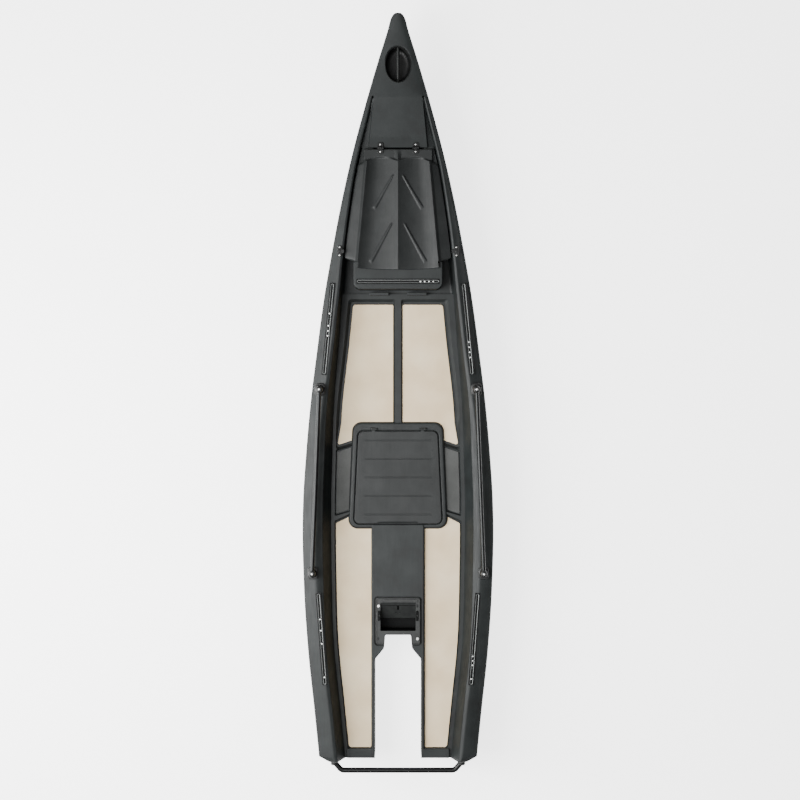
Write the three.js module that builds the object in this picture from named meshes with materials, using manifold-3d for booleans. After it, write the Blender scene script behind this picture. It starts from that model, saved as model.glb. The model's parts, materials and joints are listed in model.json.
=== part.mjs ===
// A fishing kayak for a pedal drive, with an open cockpit and a slot in its stern.
// Millimetres: X to starboard, Y to the bow, Z up. The origin lies under the middle of the
// overall length, on the plane that the flat of the hull rests on.
import * as THREE from 'three';
import { mergeVertices } from 'three/addons/utils/BufferGeometryUtils.js';
import Module from 'manifold-3d';

const wasm = await Module();
wasm.setup();

// Whole boat
const hullLength = 3602;
const hullBeam = 924;
const sternBarReach = 58;
const seamHeight = 250;
const gunwaleHeight = 332;
const bowRise = 40;
const bowRiseLength = 560;
const stemHeight = 190;
const keelRiseLength = 900;
const tunnelHeight = 60;
const sternCornerWidth = 48;
const sternCornerLength = 26;
const shellWall = 6;
const stemWall = 12;
const clearance = 0.3;
const overrun = 30;

// Gunwales
const gunwaleWidth = 100;
const gunwaleDraft = 40;
const gunwaleWall = 5;
const shoulderRadius = 9;
const innerShoulder = 4;
const hollowChamfer = 3;

// Cockpit floor
const floorHeight = 206;
const floorWall = 6;
const floorFrontFromBow = 610;
const spineHalf = 127;
const spineTop = 236;
const spineVoidMargin = 16;
const spineVoidLength = 330;
const sillLength = 47;
const ribHalf = 20;
const ribTop = 218;

// Stern slot
const slotLength = 603;
const slotNeckHalf = 63;
const slotNeckEndHalf = 68;
const slotHalf = 113;
const slotNeckLength = 66;
const slotFlareLength = 55;

// Bow deck
const grooveStartFromBow = 395;
const grooveGap = 7;
const deckWall = 5;
const deckCrown = 6;
const foredeckDrop = 6;
const foredeckDropLength = 190;
const foredeckSkirt = 30;
const foredeckLap = 14;
const deckEdgeFromHinge = 4;
const bulkheadWall = 6;
const bulkheadGap = 3;

// Carry handle in its oval recess
const recessFromBow = 241;
const recessLength = 172;
const recessWidth = 123;
const recessDepth = 46;
const recessWall = 4;
const handleRadius = 8;
const handleDrop = 14;
const handleSocketDepth = 9;
const handleBossRadius = 13;

// Front hatch
const hingeFromBow = 640;
const coamingFrontFromHinge = 30;
const coamingLength = 520;
const coamingTop = 296;
const coamingWall = 5;
const coamingFlange = 18;
const coamingFlangeDepth = 6;
const coamingRadius = 24;
const coamingLedge = 3;
const frontTrench = 13;
const aftTrench = 47;
const sealWidth = 12;
const sealInset = 3;
const coverRibBase = 304;
const coverRibInset = 4;
const coverRibWidth = 10;
const coverWall = 6;
const coverFlangeTop = 326;
const coverFlangeHalf = 168;
const coverFlangeLength = 40;
const coverFlangeLap = 12;
const coverLength = 582;
const coverRiseLength = 50;
const coverRidgeTop = 342;
const coverValleyTop = 321;
const coverShoulderTop = 340;
const coverWingTop = 314;
const coverValleyHalf = 108;
const coverShoulderFrontHalf = 149;
const coverShoulderAftHalf = 197;
const wingFrontFromHinge = 82;
const wingAftFromHinge = 530;
const wingCornerLength = 20;
const wingGap = 6;
const chevronHeight = 4;
const chevronHalfWidth = 4;
const chevronNearHalf = 26;
const chevronFarHalf = 116;
const chevronSlant = 195;
const chevronFirst = 125;
const chevronPitch = 232;

// Hinges of the front hatch
const hingeSpread = 85;
const hingeWidth = 38;
const hingeLeafLength = 27;
const hingeLeafThickness = 4;
const hingeAxisHeight = 333;
const hingeKnuckleRadius = 6;
const hingePinRadius = 3;
const hingeKnuckleWidth = 11;
const hingeArmHeight = 4;
const leafRelief = 0.5;

// Side catches of the front hatch
const catchFromBow = 1138;
const catchInset = 20;
const catchWidth = 22;
const catchLength = 54;
const catchBase = 6;
const catchPostRadius = 4;
const catchHeadRadius = 7;
const catchHeadHeight = 2.5;
const tongueThickness = 4;
const tongueWidth = 18;
const tongueTail = 12;
const tongueOverhang = 3;

// Dash with its cross track
const dashLength = 154;
const dashLap = 5;
const dashHalf = 215;
const dashTop = 312;
const dashWall = 6;
const dashRadius = 40;
const dashTrackFromFront = 91;
const dashTrackLength = 402;

// Gear tracks
const trackWidth = 26;
const trackDepth = 10;
const trackSlot = 9;
const trackCavity = 17;
const trackCavityDepth = 5;
const trackLip = 2.8;
const trackLength = 445;
const trayWall = 4;
const frontTrackFromBow = 1512;
const rearTrackFromBow = 3006;
const frontTrackShares = [0.55, 0.38];
const rearTrackShares = [0.28, 0.26];
const nutWidth = 16.4;
const nutHeight = 4.2;
const nutEnd = 10;
const nutBossRadius = 4;

// Strips of slot nuts: the pitch of their nuts, how many they have where there are several, and
// each strip's place as a share of half its track's length
const dashNutPitch = 20.7;
const frontNutPitch = 24.5;
const rearNutPitch = 21.5;
const nutCounts = {
  dash_track_nuts: 4, starboard_front_nuts: 4, port_front_nuts: 3, starboard_rear_nuts: 3,
};
const nutShares = {
  dash_track_nuts: -0.697, starboard_front_nuts: -0.45, port_front_nut: 0.337,
  port_front_nuts: -0.036, starboard_rear_nuts: -0.472, starboard_rear_nut: -0.867,
  port_rear_nut_1: 0.427, port_rear_nut_2: 0.184, port_rear_nut_3: -0.103, port_rear_nut_4: -0.831,
};

// Centre hatch. Its middle lies at a share of the way from the dash to the drive mount.
const hatchPlaceShare = 0.6024;
const lidLength = 452;
const lidFrontFromWall = 121;
const lidAftFromWall = 107;
const lidRadius = 26;
const lidTop = 238;
const lidWall = 5;
const lidGap = 3;
const lidGrooveDepth = 2;
const lidGrooveWidth = 8;
const lidGrooveCount = 5;
const lidGrooveMargin = 40;
const rimTop = 232;
const rimFront = 42;
const rimAft = 23;
const rimSide = 27;
const rimRadius = 44;
const ledgeHeight = 218;
const ledgeWidth = 18;
const hatchSealHeight = 3.7;
const hatchSealInset = 3;
const lidHingeSpread = 120;
const lidHingeFront = 10;
const lidAxisHeight = 240;
const lidKnuckleWidth = 16;
const lidEarWidth = 8;
const lidArmHeight = 6;
const lidArmLap = 10;

// Foam pads
const padThickness = 6;
const padGap = 3;
const padRadius = 12;
const frontPadSetback = 44;
const frontPadMargin = 36;
const frontPadAftFromRim = 111;
const frontPadSlant = 35;
const sidePadFront = 145;
const sidePadAft = 445;
const sidePadSlant = 34;
const sidePadMargin = 20;
const rearPadMargin = 19;
const rearPadFront = 497;
const rearPadSlant = 36;
const rearPadStations = 4;

// Drive mount over the stern slot
const driveFrontFromSlot = 181;
const driveLength = 229;
const driveHalf = 111;
const drivePlate = 5;
const driveRadius = 10;
const pocketFront = 40;
const pocketLength = 122;
const pocketHalf = 76;
const pocketWall = 4;
const pocketDepth = 108;
const pocketFrontSlope = 26;
const pocketPortHalf = 20;
const latchSpread = 93;
const latchFromFront = 88;
const latchLength = 50;
const latchWidth = 12;
const latchHeight = 6;
const latchPostRadius = 4;
const boltFromSide = 16;
const boltFromFront = 40;
const boltFromAft = 29;
const boltRadius = 4;
const boltHeadRadius = 7;
const boltHeadHeight = 5;
const boltLength = 20;
const screwClearance = 0.4;

// Side rails
const railFrontFromBow = 1803;
const railAftFromBow = 2687;
const railAcrossShare = 0.53;
const railRadius = 10;
const railRise = 40;
const railBaseWidth = 50;
const railBaseLength = 60;
const railBaseHeight = 8;
const railBossRadius = 17;
const railBossTop = 57;
const railSocketDepth = 13;

// Stern bar
const sternBarRadius = 13;
const sternBarHeight = 290;
const sternElbow = 21;
const sternSocketRadius = 18;
const sternSocketLength = 18;
const sternSocketFloor = 4;

// Drain plug in the starboard side of the transom
const drainAcross = 245;
const drainHeight = 76;
const drainRadius = 11;
const drainHeadRadius = 17;
const drainHeadHeight = 7;
const drainLength = 16;
const drainGripHeight = 5;
const drainGripWidth = 6;

// Facets round each kind of circle, and along each curve
const pinSides = 10;
const bossSides = 16;
const cornerSteps = 3;
const recessSteps = 14;
const boltHeadSides = 6;

// Shares of the hull's length from the bow, with shares of the half beam
const beamShares = [
  [0, 0.03], [0.0067, 0.07], [0.02, 0.105], [0.06, 0.205], [0.114, 0.33], [0.18, 0.469],
  [0.247, 0.589], [0.314, 0.69], [0.381, 0.78], [0.448, 0.85], [0.515, 0.913], [0.582, 0.96],
  [0.648, 0.993], [0.69, 1], [0.769, 0.984], [0.849, 0.943], [0.93, 0.877], [1, 0.822],
];

// Shares of the length, with shares of the gunwale's full width
const gunwaleShares = [
  [0.1, 0.24], [0.15, 0.31], [0.194, 0.33], [0.247, 0.43], [0.314, 0.58], [0.381, 0.76],
  [0.448, 0.82], [0.515, 0.83], [0.62, 0.96], [0.69, 1], [0.77, 0.97], [0.85, 0.91], [1, 0.9],
];

// Shares of the length, with how far the section has turned from a vee into a flat bottom
const fullnessShares = [[0, 0], [0.1, 0], [0.4, 1], [1, 1]];

// Shares of the length, with shares of the tunnel's full height
const tunnelShares = [[0, 0], [0.45, 0], [0.62, 1], [1, 1]];

// One side of a hull section: share of the half beam, heights as shares of the keel to seam
// height for a vee and for a flat bottom, and the share of the tunnel's height
const sectionShares = [
  [0, 0, 0, 1], [0.22, 0.09, 0, 0.8], [0.4, 0.2, 0, 0], [0.66, 0.4, 0, 0],
  [0.86, 0.6, 0.16, 0], [0.97, 0.84, 0.5, 0], [1, 1, 1, 0],
];

// Shares of the length at which the lofted pieces have a section
const stationShares = [
  0, 0.003, 0.0067, 0.02, 0.045, 0.075, 0.11, 0.145, 0.18, 0.22, 0.26, 0.3, 0.34, 0.38, 0.42,
  0.46, 0.5, 0.54, 0.58, 0.62, 0.655, 0.69, 0.74, 0.79, 0.84, 0.89, 0.945, 1,
];

const mix = (from, to, share) => from + (to - from) * share;

const bowY = (hullLength + sternBarReach) / 2;
const sternY = bowY - hullLength;
const floorTop = floorHeight + floorWall;
const hingeY = bowY - hingeFromBow;
const grooveStartY = bowY - grooveStartFromBow;
const coamingFrontY = hingeY - coamingFrontFromHinge;
const coamingAftY = coamingFrontY - coamingLength;
const dashAftY = coamingAftY - dashLength;
const slotFrontY = sternY + slotLength;
const driveFrontY = slotFrontY + driveFrontFromSlot;
const driveAftY = driveFrontY - driveLength;
const lidFrontY = mix(dashAftY, driveFrontY, hatchPlaceShare) + lidLength / 2;
const lidAftY = lidFrontY - lidLength;
const rimFrontY = lidFrontY + rimFront;
const rimAftY = lidAftY - rimAft;
const pocketFrontY = driveFrontY - pocketFront;
const pocketAftY = pocketFrontY - pocketLength;
const catchY = bowY - catchFromBow;

// A smooth curve through a table of pairs, with no overshoot between them.
function along(table, place) {
  const last = table.length - 1;
  const held = Math.min(Math.max(place, table[0][0]), table[last][0]);
  let k = 0;
  while (k < last - 1 && held > table[k + 1][0]) k++;
  const secant = (i) => (table[i + 1][1] - table[i][1]) / (table[i + 1][0] - table[i][0]);
  const slope = (i) => {
    if (i === 0) return secant(0);
    if (i === last) return secant(last - 1);
    const [before, after] = [secant(i - 1), secant(i)];
    return before * after > 0 ? (2 * before * after) / (before + after) : 0;
  };
  const [start, from] = table[k];
  const [end, to] = table[k + 1];
  const span = end - start;
  const u = (held - start) / span;
  const bend = u * (1 - u);
  const ease = u * u * (3 - 2 * u);
  return from + (to - from) * ease + bend * span * (slope(k) * (1 - u) - slope(k + 1) * u);
}

const placeOf = (y) => (bowY - y) / hullLength;
const halfBeam = (y) => (hullBeam / 2) * along(beamShares, placeOf(y));

// The deck's edge, with the corner cut off at the stern.
function edge(y) {
  const cut = Math.max(0, 1 - (y - sternY) / sternCornerLength);
  return halfBeam(y) - sternCornerWidth * cut;
}

const innerTop = (y) => halfBeam(y) - gunwaleWidth * along(gunwaleShares, placeOf(y));
const innerFoot = (y) => innerTop(y) - gunwaleDraft * along(gunwaleShares, placeOf(y));
const lidFrontHalf = innerFoot(lidFrontY) - lidFrontFromWall;
const lidAftHalf = innerFoot(lidAftY) - lidAftFromWall;
const sternBarHalf = innerTop(sternY) + sternSocketRadius;
const wallFaceAt = (y, z) =>
  mix(innerFoot(y), innerTop(y), (z - floorTop) / (gunwaleHeight - floorTop));
const deckTop = (y) => gunwaleHeight + bowRise * Math.max(0, 1 - (bowY - y) / bowRiseLength) ** 2;
const keelHeight = (y) => stemHeight * Math.max(0, 1 - (bowY - y) / keelRiseLength) ** 2;
const foredeckTop = (y) =>
  deckTop(y) - foredeckDrop * Math.min(1, Math.max(0, (grooveStartY - y) / foredeckDropLength));
const wingEdge = (y) => innerTop(y) - wingGap;
const coamingHalf = (y) =>
  mix(innerFoot(coamingFrontY) - frontTrench, innerFoot(coamingAftY) - aftTrench,
    (coamingFrontY - y) / coamingLength);

// The sections between two places along the boat, from the bow aft.
function stations(front, aft) {
  const places = stationShares.map((share) => bowY - share * hullLength);
  const inside = [...places, sternY + sternCornerLength]
    .filter((y) => y < front - shellWall / 2 && y > aft + shellWall / 2)
    .sort((a, b) => b - a);
  return [front, ...inside, aft];
}

// A closed geometry as a solid that can be joined and cut.
function solidOf(geometry) {
  const bare = new THREE.BufferGeometry();
  bare.setAttribute('position', geometry.attributes.position.clone());
  if (geometry.index) bare.setIndex(geometry.index.clone());
  const merged = mergeVertices(bare);
  const corners = merged.index.array;
  const triangles = [];
  for (let i = 0; i < corners.length; i += 3) {
    const [a, b, c] = corners.slice(i, i + 3);
    if (a !== b && b !== c && c !== a) triangles.push(a, b, c);
  }
  return new wasm.Manifold(new wasm.Mesh({
    numProp: 3,
    vertProperties: new Float32Array(merged.attributes.position.array),
    triVerts: new Uint32Array(triangles),
  }));
}

function geometryOf(solid) {
  const mesh = solid.getMesh();
  const geometry = new THREE.BufferGeometry();
  geometry.setAttribute('position', new THREE.BufferAttribute(mesh.vertProperties, mesh.numProp));
  geometry.setIndex(new THREE.BufferAttribute(mesh.triVerts, 1));
  geometry.computeVertexNormals();
  return geometry;
}

// A skin through rings of [x, z] points, which run anticlockwise seen from astern. Its ends are
// strips between a ring's first and second halves.
function loft(places, ringAt) {
  const rings = places.map(ringAt);
  const count = rings[0].length;
  const positions = rings.flatMap((ring, i) => ring.flatMap(([x, z]) => [x, places[i], z]));
  const faces = [];
  for (let i = 0; i + 1 < rings.length; i++) {
    for (let j = 0; j < count; j++) {
      const near = i * count + j;
      const next = i * count + ((j + 1) % count);
      faces.push(near, next, next + count, near, next + count, near + count);
    }
  }
  const aftStart = (rings.length - 1) * count;
  for (let j = 0; 2 * j + 2 < count; j++) {
    const [a, b, c, d] = [j, j + 1, count - 2 - j, count - 1 - j];
    faces.push(a, c, b, a, d, c);
    faces.push(aftStart + a, aftStart + b, aftStart + c, aftStart + a, aftStart + c, aftStart + d);
  }
  const geometry = new THREE.BufferGeometry();
  geometry.setAttribute('position', new THREE.Float32BufferAttribute(positions, 3));
  geometry.setIndex(faces);
  return solidOf(geometry);
}

// An outline of [x, y] corners, each rounded as far as its sides allow.
function outline(corners, radius = 0) {
  const points = corners.map(([x, y]) => new THREE.Vector2(x, y));
  if (radius === 0) return new THREE.Shape(points);
  const shape = new THREE.Shape();
  points.forEach((corner, i) => {
    const before = points[(i + points.length - 1) % points.length];
    const after = points[(i + 1) % points.length];
    const reach = (other) => Math.min(radius, corner.distanceTo(other) / 2);
    const start = corner.clone().lerp(before, reach(before) / corner.distanceTo(before));
    const end = corner.clone().lerp(after, reach(after) / corner.distanceTo(after));
    if (i === 0) shape.moveTo(start.x, start.y);
    else shape.lineTo(start.x, start.y);
    shape.quadraticCurveTo(corner.x, corner.y, end.x, end.y);
  });
  shape.closePath();
  return shape;
}

// A plan outline carried up from one height to another.
function slab(shape, bottom, top) {
  const settings = { depth: top - bottom, bevelEnabled: false, curveSegments: cornerSteps };
  return solidOf(new THREE.ExtrudeGeometry(shape, settings).translate(0, 0, bottom));
}

function block(xs, ys, zs) {
  const size = [xs, ys, zs].map(([low, high]) => high - low);
  const middle = [xs, ys, zs].map(([low, high]) => (low + high) / 2);
  return solidOf(new THREE.BoxGeometry(...size).translate(...middle));
}

function upright(radius, bottom, top, x = 0, y = 0, sides = bossSides) {
  const rod = new THREE.CylinderGeometry(radius, radius, top - bottom, sides).rotateX(Math.PI / 2);
  return solidOf(rod.translate(x, y, (top + bottom) / 2));
}

function acrossRod(radius, left, right, y, z, sides = bossSides) {
  const rod = new THREE.CylinderGeometry(radius, radius, right - left, sides).rotateZ(Math.PI / 2);
  return solidOf(rod.translate((left + right) / 2, y, z));
}

function lengthwiseRod(radius, aft, front, x, z, sides = bossSides) {
  const rod = new THREE.CylinderGeometry(radius, radius, front - aft, sides);
  return solidOf(rod.translate(x, (front + aft) / 2, z));
}

const mirrored = (solid) => solid.mirror([1, 0, 0]);
const bothSides = (solid) => solid.add(mirrored(solid));

// Materials
const finish = (color, roughness, metalness) =>
  () => new THREE.MeshStandardMaterial({ color, roughness, metalness });
const hullPlastic = finish('#464948', 0.55, 0);
const hatchPlastic = finish('#4b4e4e', 0.5, 0);
const deckFoam = finish('#cbc2b5', 0.95, 0);
const sideFoam = finish('#6d6e6c', 0.95, 0);
const blackPlastic = finish('#1c1d1e', 0.45, 0);
const blackMetal = finish('#151617', 0.4, 0.6);
const stainless = finish('#c4c6c8', 0.3, 1);
const softRubber = finish('#161616', 0.85, 0);

const kayak = new THREE.Group();

function place(name, solid, material, parent = kayak) {
  const mesh = new THREE.Mesh(geometryOf(solid), material());
  mesh.name = name;
  parent.add(mesh);
  return mesh;
}

// The hull's section below the seam, from the port seam round the keel to starboard, drawn in
// by the wall. A drawn-in section runs on above the seam, so that what it cuts is open there.
function hullRing(y, wall) {
  const full = along(fullnessShares, placeOf(y));
  const tunnel = tunnelHeight * along(tunnelShares, placeOf(y));
  const keel = keelHeight(y);
  const side = sectionShares.map(([across, vee, flat, roof]) => [
    across * (edge(y) - wall),
    keel + (seamHeight - keel) * mix(vee, flat, full) + roof * tunnel + wall,
  ]);
  if (wall > 0) side.at(-1)[1] = seamHeight + overrun;
  const port = side.slice(1).reverse().map(([x, z]) => [-x, z]);
  return [...port, ...side];
}

function hullSolid(wall) {
  const front = wall > 0 ? bowY - stemWall : bowY;
  return loft(stations(front, sternY + wall), (y) => hullRing(y, wall));
}

// The stern slot's plan, grown by a margin. It runs out past the stern.
function slotShape(grown) {
  const starboard = [
    [slotNeckHalf + grown, slotFrontY + grown],
    [slotNeckEndHalf + grown, slotFrontY - slotNeckLength + grown],
    [slotHalf + grown, slotFrontY - slotNeckLength - slotFlareLength + grown],
    [slotHalf + grown, sternY - overrun],
  ];
  return outline([...starboard, ...starboard.map(([x, y]) => [-x, y]).reverse()]);
}

// Half the width of the opening in the transom that the floor's aft end fills.
const transomHalf = wallFaceAt(sternY + shellWall, seamHeight) + gunwaleWall + hollowChamfer;

function hullShell() {
  const outer = hullSolid(0);
  const slotWall = slab(slotShape(shellWall), 0, floorHeight - clearance).intersect(outer);
  const transomCut = block([-transomHalf, transomHalf], [sternY - overrun, sternY + overrun],
    [floorHeight - clearance, seamHeight + overrun]);
  const drainHole = lengthwiseRod(drainRadius + screwClearance, sternY - overrun, sternY + overrun,
    drainAcross, drainHeight);
  return outer.subtract(hullSolid(shellWall)).add(slotWall)
    .subtract(slab(slotShape(0), -overrun, seamHeight + overrun))
    .subtract(transomCut).subtract(drainHole);
}

// A plan with straight, tapering sides and rounded corners, grown by a margin on every side.
function taperShape(frontY, aftY, frontHalf, aftHalf, radius, grown = 0) {
  return outline([
    [frontHalf + grown, frontY + grown], [-frontHalf - grown, frontY + grown],
    [-aftHalf - grown, aftY - grown], [aftHalf + grown, aftY - grown],
  ], radius);
}

const lidShape = (grown) =>
  taperShape(lidFrontY, lidAftY, lidFrontHalf, lidAftHalf, lidRadius, grown);
const rimShape = (grown) =>
  taperShape(rimFrontY, rimAftY, lidFrontHalf + rimSide, lidAftHalf + rimSide, rimRadius, grown);
const coamingShape = (grown) =>
  taperShape(coamingFrontY, coamingAftY, coamingHalf(coamingFrontY), coamingHalf(coamingAftY),
    coamingRadius, grown);

// The two ears that carry one pin of the centre hatch's lid, at a distance from the centreline.
function lidEars(x) {
  const [y, z, r] = [lidFrontY + lidHingeFront, lidAxisHeight, hingeKnuckleRadius];
  const inner = lidKnuckleWidth / 2 + clearance;
  const ear = (left) => acrossRod(r, left, left + lidEarWidth, y, z)
    .add(block([left, left + lidEarWidth], [y - r, y + r], [rimTop - floorWall, z]));
  return ear(x + inner).add(ear(x - inner - lidEarWidth));
}

function cockpitFloor() {
  const plate = block([-hullBeam, hullBeam], [sternY, bowY - floorFrontFromBow],
    [floorHeight, floorTop]).intersect(hullSolid(shellWall + clearance));
  const tail = block([-transomHalf + clearance, transomHalf - clearance],
    [sternY, sternY + sternCornerLength], [floorHeight, floorTop]);
  const band = block([-spineHalf, spineHalf], [sternY, lidAftY - lidGap], [floorHeight, spineTop]);
  const sillHalf = innerFoot(sternY) - clearance;
  const sill = block([-sillHalf, sillHalf], [sternY, sternY + sillLength], [floorHeight, spineTop]);
  const rib = block([-ribHalf, ribHalf], [rimFrontY - rimFront / 2, dashAftY - clearance],
    [floorHeight, ribTop]);
  const rim = slab(rimShape(0), floorHeight, rimTop);
  const voidFront = rimAftY - spineVoidMargin;
  const spineVoid = block([-spineHalf + shellWall, spineHalf - shellWall],
    [voidFront - spineVoidLength + spineVoidMargin, voidFront],
    [floorHeight - overrun, spineTop - shellWall]);
  const rebate = slab(lidShape(lidGap), ledgeHeight, spineTop + overrun);
  const well = slab(lidShape(-ledgeWidth), floorHeight - overrun, rimTop);
  const bay = slab(coamingShape(-coamingWall - coamingLedge), floorHeight - overrun,
    floorTop + overrun);
  const drivePit = block([-pocketHalf - pocketWall - clearance, pocketHalf + pocketWall + clearance],
    [pocketAftY - pocketWall - clearance, pocketFrontY + pocketWall + clearance],
    [floorHeight - overrun, spineTop + overrun]);
  const ears = lidEars(lidHingeSpread).add(lidEars(-lidHingeSpread));
  const pinHoles = acrossRod(hingePinRadius + clearance, -hullBeam / 2, hullBeam / 2,
    lidFrontY + lidHingeFront, lidAxisHeight, pinSides);
  const boltHoles = boltPlaces().map(([x, y]) =>
    upright(boltRadius + screwClearance, floorHeight - overrun, spineTop + overrun, x, y, pinSides));
  const slot = slab(slotShape(0), -overrun, seamHeight + overrun);
  const whole = plate.add(tail).add(band).add(sill).add(rib).add(rim);
  return [rebate, well, bay, drivePit, spineVoid, slot, ...boltHoles]
    .reduce((solid, cut) => solid.subtract(cut), whole)
    .add(ears.subtract(pinHoles));
}

// A gunwale's section: an upturned channel whose outer leg stands on the hull's seam and whose
// inner leg, the cockpit's wall, stands on the floor.
function gunwaleRing(y) {
  const [out, inTop, inFoot, top] = [edge(y), innerTop(y), innerFoot(y), deckTop(y)];
  const [seat, foot, w] = [seamHeight + clearance, floorTop + clearance, gunwaleWall];
  const [r, q, c] = [shoulderRadius, innerShoulder, hollowChamfer];
  const soft = 1 - Math.SQRT1_2;
  return [
    [out, seat], [out, top - r], [out - r * soft, top - r * soft], [out - r, top],
    [inTop + q, top], [inTop, top - q], [inFoot, foot],
    [inFoot + w, foot], [inTop + w, top - w - c], [inTop + w + c, top - w],
    [out - w - c, top - w], [out - w - c * soft, top - w - c * soft], [out - w, top - w - c],
    [out - w, seat],
  ];
}

// The end plate that closes a gunwale at the stern, above the transom.
function gunwaleEndRing(y) {
  const [out, inTop, top] = [edge(y), innerTop(y), deckTop(y)];
  const [seat, r, q] = [seamHeight + clearance, shoulderRadius, innerShoulder];
  return [[out, seat], [out, top - r], [out - r, top], [inTop + q, top], [inTop, top - q],
    [wallFaceAt(y, seat), seat]];
}

// Where a gear track lies on a starboard gunwale, from the places of its two ends.
function trackPlace(fromBow, shares) {
  const ends = [trackLength / 2, -trackLength / 2].map((offset, i) => {
    const y = bowY - fromBow + offset;
    return new THREE.Vector2(mix(innerTop(y), halfBeam(y), shares[i]), y);
  });
  const middle = ends[0].clone().add(ends[1]).divideScalar(2);
  const run = ends[0].clone().sub(ends[1]);
  return { x: middle.x, y: middle.y, turn: Math.atan2(-run.x, run.y) };
}

const frontTrack = trackPlace(frontTrackFromBow, frontTrackShares);
const rearTrack = trackPlace(rearTrackFromBow, rearTrackShares);

const dashTrack = { x: 0, y: coamingAftY - dashTrackFromFront, turn: Math.PI / 2 };

const settled = (solid, { x, y, turn }) =>
  solid.rotate([0, 0, THREE.MathUtils.radToDeg(turn)]).translate([x, y, 0]);

// The pocket that a track lies in, and the tray round it under a deck's skin.
function trackSeat(length, placing, top, skin) {
  const bottom = top - trackDepth - clearance;
  const box = (grown, low, high) => {
    const [halfWidth, halfLength] = [trackWidth / 2 + grown, length / 2 + grown];
    return settled(block([-halfWidth, halfWidth], [-halfLength, halfLength], [low, high]), placing);
  };
  return {
    pocket: box(clearance, bottom, top + overrun),
    tray: box(clearance + trayWall, bottom - trayWall, top - skin / 2),
  };
}

function gunwale() {
  const channel = loft(stations(grooveStartY - clearance, sternY), gunwaleRing);
  const end = loft([sternY + gunwaleWall, sternY], gunwaleEndRing);
  const seats = [frontTrack, rearTrack].map((placing) =>
    trackSeat(trackLength, placing, gunwaleHeight, gunwaleWall));
  const whole = seats.reduce((solid, { tray }) => solid.add(tray), channel.add(end));
  return seats.reduce((solid, { pocket }) => solid.subtract(pocket), whole);
}

// The bow deck's section, from the starboard seam over the crown to port.
function bowRing(y, wall) {
  const half = edge(y) - wall;
  const r = Math.min(shoulderRadius, half / 2);
  const top = deckTop(y) - wall;
  const bottom = wall > 0 ? seamHeight - overrun : seamHeight + clearance;
  const soft = 1 - Math.SQRT1_2;
  const crown = deckCrown * Math.min(1, half / recessWidth);
  const side = [[half, bottom], [half, top - r], [half - r * soft, top - r * soft],
    [half - r, top]];
  const port = side.map(([x, z]) => [-x, z]).reverse();
  return [...side, [0, top + crown], ...port];
}

// The foredeck between the grooves: a shallow channel with its open side down.
function foredeckRing(y) {
  const half = innerTop(y) - grooveGap;
  const top = foredeckTop(y);
  const crown = deckCrown * Math.max(0, 1 - (grooveStartY - y) / foredeckDropLength);
  const outer = [[half, top - foredeckSkirt], [half, top], [0, top + crown]];
  const inner = outer.map(([x, z]) => [Math.max(0, x - deckWall), z - (z < top ? 0 : deckWall)]);
  const whole = (chain) => [...chain, ...chain.slice(0, -1).reverse().map(([x, z]) => [-x, z])];
  return [...whole(outer), ...whole(inner).reverse()];
}

function ovalShape(grown) {
  const shape = new THREE.Shape();
  shape.absellipse(0, bowY - recessFromBow, recessWidth / 2 + grown, recessLength / 2 + grown,
    0, 2 * Math.PI, false, 0);
  return outline(shape.getPoints(recessSteps).slice(0, -1).map(({ x, y }) => [x, y]));
}

const handleY = bowY - recessFromBow;
const handleZ = deckTop(handleY - recessLength / 2) - handleDrop;

function bowDeck() {
  const bow = loft(stations(bowY, grooveStartY), (y) => bowRing(y, 0));
  const hollow = loft([...stations(bowY - stemWall, grooveStartY), grooveStartY - overrun],
    (y) => bowRing(y, deckWall));
  const foredeckPlaces = [...stations(grooveStartY + foredeckLap, grooveStartY - foredeckDropLength),
    hingeY + deckEdgeFromHinge];
  const foredeck = loft(foredeckPlaces, foredeckRing);
  const bulkheadHalf = innerFoot(hingeY) - bulkheadGap;
  const bulkhead = block([-bulkheadHalf, bulkheadHalf],
    [hingeY + deckEdgeFromHinge, hingeY + deckEdgeFromHinge + bulkheadWall],
    [floorTop + clearance, foredeckTop(hingeY) - deckWall / 2]);
  const cupFloor = handleZ - recessDepth;
  const roof = deckTop(bowY) + overrun;
  const cup = slab(ovalShape(recessWall), cupFloor, roof).intersect(bow);
  const bosses = [1, -1].map((side) => {
    const mouth = handleY + side * (recessLength / 2 - recessWall);
    const back = mouth + side * (recessWall + handleSocketDepth + recessWall);
    return lengthwiseRod(handleBossRadius, Math.min(mouth, back), Math.max(mouth, back), 0,
      handleZ);
  });
  const socketReach = recessLength / 2 + handleSocketDepth;
  const sockets = lengthwiseRod(handleRadius + clearance, handleY - socketReach,
    handleY + socketReach, 0, handleZ, pinSides);
  const shell = bow.subtract(hollow).add(foredeck).add(bulkhead).add(cup);
  return bosses.reduce((solid, boss) => solid.add(boss.intersect(bow)), shell)
    .subtract(slab(ovalShape(0), cupFloor + recessWall, roof)).subtract(sockets);
}

function bowHandle() {
  const reach = recessLength / 2 + handleSocketDepth - clearance;
  return lengthwiseRod(handleRadius, handleY - reach, handleY + reach, 0, handleZ, pinSides);
}

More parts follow.
